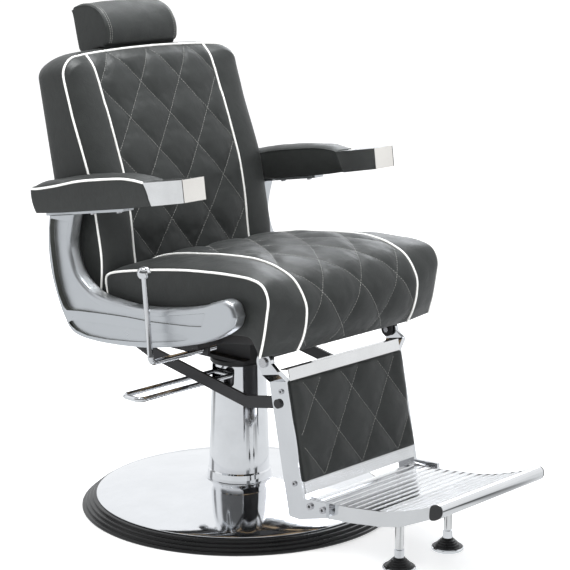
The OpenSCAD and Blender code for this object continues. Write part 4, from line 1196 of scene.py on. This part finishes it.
def leg_make(step):
    z = np.linspace(-230.2, -25.2, int(205 / step) + 1)
    x = even_columns(171.2, step)
    X, Z = np.meshgrid(x, z)
    pillow, to_seam = quilt(X, Z + LEG_ZERO, LEG_START, LEG_PITCH, 5.5)
    to_edge = np.minimum(np.minimum(171.3 - np.abs(X), Z + 230.4), -25 - Z)
    edge = np.clip(to_edge / 16.0, 0, 1)
    edge = np.sqrt(np.clip(1 - (1 - edge) ** 2, 0, 1))
    flat = np.dstack([X, np.zeros_like(X), Z])
    pucker = 0.3 * ripple(flat, 18, 8) * np.exp(-to_seam / 9.0) * edge
    height = 3.5 + 5.0 * edge + pillow * edge + pucker
    top = np.dstack([X, 1.0 - height, Z])
    bottom = np.dstack([X, np.full_like(X, 8.4), Z])
    return dict(top=leg_global(top), bottom=leg_global(bottom),
                sewn=np.exp(-(to_seam / SEWN_REACH) ** 2), rim_length=12, bulge=0.0,
                x=x, s=z + LEG_ZERO)


leg_top, leg_shape = shell("legrest_pad_upholstery", leg_make, "legrest", "legrest_pad",
                           coarse=5.5, fine=2.8,
                           sim=dict(pressure=3.0, cap=5.0, swell=0.01, rim=1.0))
leg_lines = quilt_paths(leg_top, leg_shape, LEG_START, LEG_PITCH, 171,
                        margins=(3, 3), outward=(0, -1, 0.2))
stitches("legrest_quilting_stitches", leg_lines, "legrest")


# ------------------------------------------------------------------ hex sockets of the screws, black hexagons of painted shade
def sockets(name, x, places, radius):
    """Black hexagons of painted shade for the socket holes, at the (y, z) places on both sides of
    the legrest.
    """
    points, faces = [], []
    angles = np.linspace(0, 2 * np.pi, 6, endpoint=False) + 0.3
    for side in (-1, 1):
        for y, z in places:
            b = len(points) * 6
            for dx in (-0.6, 0.08):
                points.append(np.stack([np.full(6, side * x + side * dx),
                                        y + radius * np.cos(angles),
                                        z + radius * np.sin(angles)], 1))
            faces += [tuple(range(b, b + 6)), tuple(range(b + 11, b + 5, -1))]
            faces += [(b + i, b + i + 6, b + (i + 1) % 6 + 6, b + (i + 1) % 6)
                      for i in range(6)]
    obj = add_mesh(name, np.concatenate(points), faces, BLACK, recalc=False, smooth=False)
    register(obj, "legrest")


def leg_yz(y, z):
    return leg_global(np.array([0.0, y, z]))[1:]


foot_y, foot_z = leg_yz(1, -262)
sockets("legrest_screw_socket_shade", 184.0, [leg_yz(18, z) for z in (-44, -232)], radius=2.7)
sockets("footplate_screw_socket_shade", 185.1, [(foot_y + y, foot_z - 12) for y in (-20, -54)],
        radius=3.4)

# ------------------------------------------------------------------ camera and lights
camera = bpy.data.cameras.new("camera")
camera.sensor_width = 36.0
camera.lens = 121.57049053
camera.clip_start, camera.clip_end = 0.1, 120.0
camera_object = bpy.data.objects.new("camera", camera)
SCENE.collection.objects.link(camera_object)
CAMERA_RIGHT = (0.6794660057576277, -0.733702356859061, 0.002607404693288395)
CAMERA_UP = (0.15765830039249298, 0.14947285244023392, 0.9761156318288989)
CAMERA_BACK = (-0.7165680758568065, -0.6628263105239858, 0.21723598859313095)
CAMERA_PLACE = (-2.90184, -2.81939, 1.38930)
camera_object.matrix_world = Matrix(
    (*zip(CAMERA_RIGHT, CAMERA_UP, CAMERA_BACK, CAMERA_PLACE), (0, 0, 0, 1)))
SCENE.camera = camera_object


def area(name, place, target, size, power, color, glossy=True):
    light = bpy.data.lights.new(name, "AREA")
    light.energy = power
    light.color = color
    light.shape = "RECTANGLE"
    light.size = light.size_y = size
    obj = bpy.data.objects.new(name, light)
    SCENE.collection.objects.link(obj)
    obj.location = place
    aim = Vector(target) - Vector(place)
    obj.rotation_euler = aim.to_track_quat("-Z", "Y").to_euler()
    obj.visible_glossy = glossy


area("key_softbox", place=(-2.2, -1.0, 2.7), target=(0, 0, 0.6), size=1.6, power=60,
     color=(1.0, 0.99, 0.97), glossy=False)
area("top_softbox", place=(0.3, 0.1, 3.2), target=(0, -0.05, 0.4), size=1.7, power=100,
     color=(0.97, 0.99, 1.0))
area("front_fill", place=(0.7, -3.5, 2.1), target=(0, 0, 0.8), size=1.8, power=21,
     color=(0.96, 0.98, 1.0), glossy=False)
area("rim_light", place=(2.6, 1.4, 2.0), target=(0, 0, 0.7), size=1.4, power=26,
     color=(0.93, 0.96, 1.0))

# ------------------------------------------------------------------ studio seen in reflections
TO_CAMERA = (-0.7341, -0.6790)  # level direction (x, y)
# dark upright strips: azimuth from, to, softness (degrees), darkness
STRIPS = ((25, 41, 4, 0.8), (58, 75, 5, 0.95), (-132, -108, 6, 0.7))


def azimuth(graph, x, y):
    """Degrees from the direction back to the camera, positive to the camera's right."""
    def along(dx, dy):
        return graph.math("ADD", graph.math("MULTIPLY", x, dx), graph.math("MULTIPLY", y, dy))

    cx, cy = TO_CAMERA
    turn = graph.math("ARCTAN2", along(-cy, cx), along(cx, cy))
    return graph.math("MULTIPLY", turn, 180 / math.pi)


def azimuth_cosine(graph, angle):
    return graph.math("COSINE", graph.math("MULTIPLY", angle, 0.017453))


def build_world():
    """White to the camera, even light on matt surfaces, dark bands in reflections."""
    world = bpy.data.worlds.new("studio")
    SCENE.world = world
    world.use_nodes = True
    g = Graph(world.node_tree)
    output = g.add("OutputWorld")
    rays = g.add("LightPath").outputs
    way = g.add("SeparateXYZ", {0: g.add("TexCoord").outputs["Generated"]}).outputs

    def band(value, low, high, soft):
        gaps = g.math("SUBTRACT", value, low), g.math("SUBTRACT", high, value)
        edges = []
        for gap in gaps:
            ramp = g.math("MAXIMUM", 0.0, g.math("DIVIDE", gap, soft))
            edges.append(g.math("SMOOTH_MIN", 1.0, ramp, 0.05))
        return g.math("MULTIPLY", *edges)

    around, up = azimuth(g, way[0], way[1]), way[2]
    low = band(up, -2.0, 0.62, 0.12)
    layers = [g.math("MULTIPLY", g.math("MULTIPLY", band(around, start, end, soft), low), depth)
              for start, end, soft, depth in STRIPS]
    # the unlit front of the studio, above the floor and below the overhead light
    front = g.math("MULTIPLY", band(around, -86, 73, 12), band(up, 0.08, 0.70, 0.07))
    layers.append(g.math("MULTIPLY", front, 0.86))
    # overhead
    layers.append(g.math("MULTIPLY", band(up, 0.80, 1.2, 0.08), 0.55))
    light_left = g.math("SUBTRACT", 1.0, g.math("MULTIPLY", g.highest(layers), 0.97))
    tone = g.math("ADD", 0.87, g.math("MULTIPLY", azimuth_cosine(g, around), -0.19))

    def background(color, strength):
        return g.add("Background", {"Color": color, "Strength": strength}).outputs[0]

    glossy = background((0.97, 0.985, 1.0), g.math("MULTIPLY", tone, light_left))
    diffuse = background((1, 1, 1), 0.42)
    backdrop = background((1, 1, 1), 1.0)
    seen = g.add("MixShader", {0: rays["Is Glossy Ray"], 1: diffuse, 2: glossy})
    seen = g.add("MixShader", {0: rays["Is Camera Ray"], 1: seen.outputs[0], 2: backdrop})
    g.feed(output.inputs[0], seen.outputs[0])


def floor_material():
    """Pale floor, with its own plain look in reflections."""
    m = Mat("pale_floor")
    cloud = m.noise(scale=3.0, detail=3.0)
    material = m.done(color=m.mix(m.ramp(cloud), (0.86, 0.86, 0.865), (0.9, 0.9, 0.9)),
                      rough=0.6, specular=0.2,
                      normal=m.bump(m.noise(scale=300.0), strength=0.05, distance=0.0002))
    x, y = m.add("SeparateXYZ", {0: m.place}).outputs[:2]
    around = azimuth(m, x, y)
    distance = m.math("SQRT", m.math("ADD", m.math("MULTIPLY", x, x), m.math("MULTIPLY", y, y)))
    m.feed(m.shader.inputs["Emission Color"], (1, 1, 1))
    m.feed(m.shader.inputs["Emission Strength"], m.ramp(distance, (0.6, 4.0), to=(0.5, 0.68)))
    layers = []
    for start, end, soft, depth in STRIPS:
        strip = m.math("MULTIPLY", m.ramp(around, (start, start + soft)),
                       m.ramp(around, (end - soft, end), to=(1, 0)))
        layers.append(m.math("MULTIPLY", strip, depth))
    dark = m.math("MULTIPLY", m.highest(layers), m.ramp(distance, (0.5, 1.1)))
    tone = m.math("SUBTRACT", 0.80, m.math("MULTIPLY", azimuth_cosine(m, around), 0.08))
    strength = m.math("MULTIPLY", tone, m.math("SUBTRACT", 1.0, dark))
    glow = m.add("Emission", {"Color": (0.955, 0.98, 1.0), "Strength": strength})
    glossy_ray = m.add("LightPath").outputs["Is Glossy Ray"]
    mixed = m.add("MixShader", {0: glossy_ray, 1: m.shader.outputs[0], 2: glow.outputs[0]})
    m.feed(m.output.inputs[0], mixed.outputs[0])
    return material


build_world()
FLOOR_HALF, FLOOR_Z = 40000, -0.5
floor_corners = [(x * FLOOR_HALF, y * FLOOR_HALF, FLOOR_Z)
                 for x, y in ((-1, -1), (1, -1), (1, 1), (-1, 1))]
add_mesh("studio_floor", floor_corners, [(0, 1, 2, 3)], floor_material(),
                  recalc=False, smooth=False)

SCENE.view_settings.view_transform = "Standard"
SCENE.view_settings.look = "None"
SCENE.view_settings.exposure = 0.0
SCENE.view_settings.gamma = 1.0

bpy.context.view_layer.update()
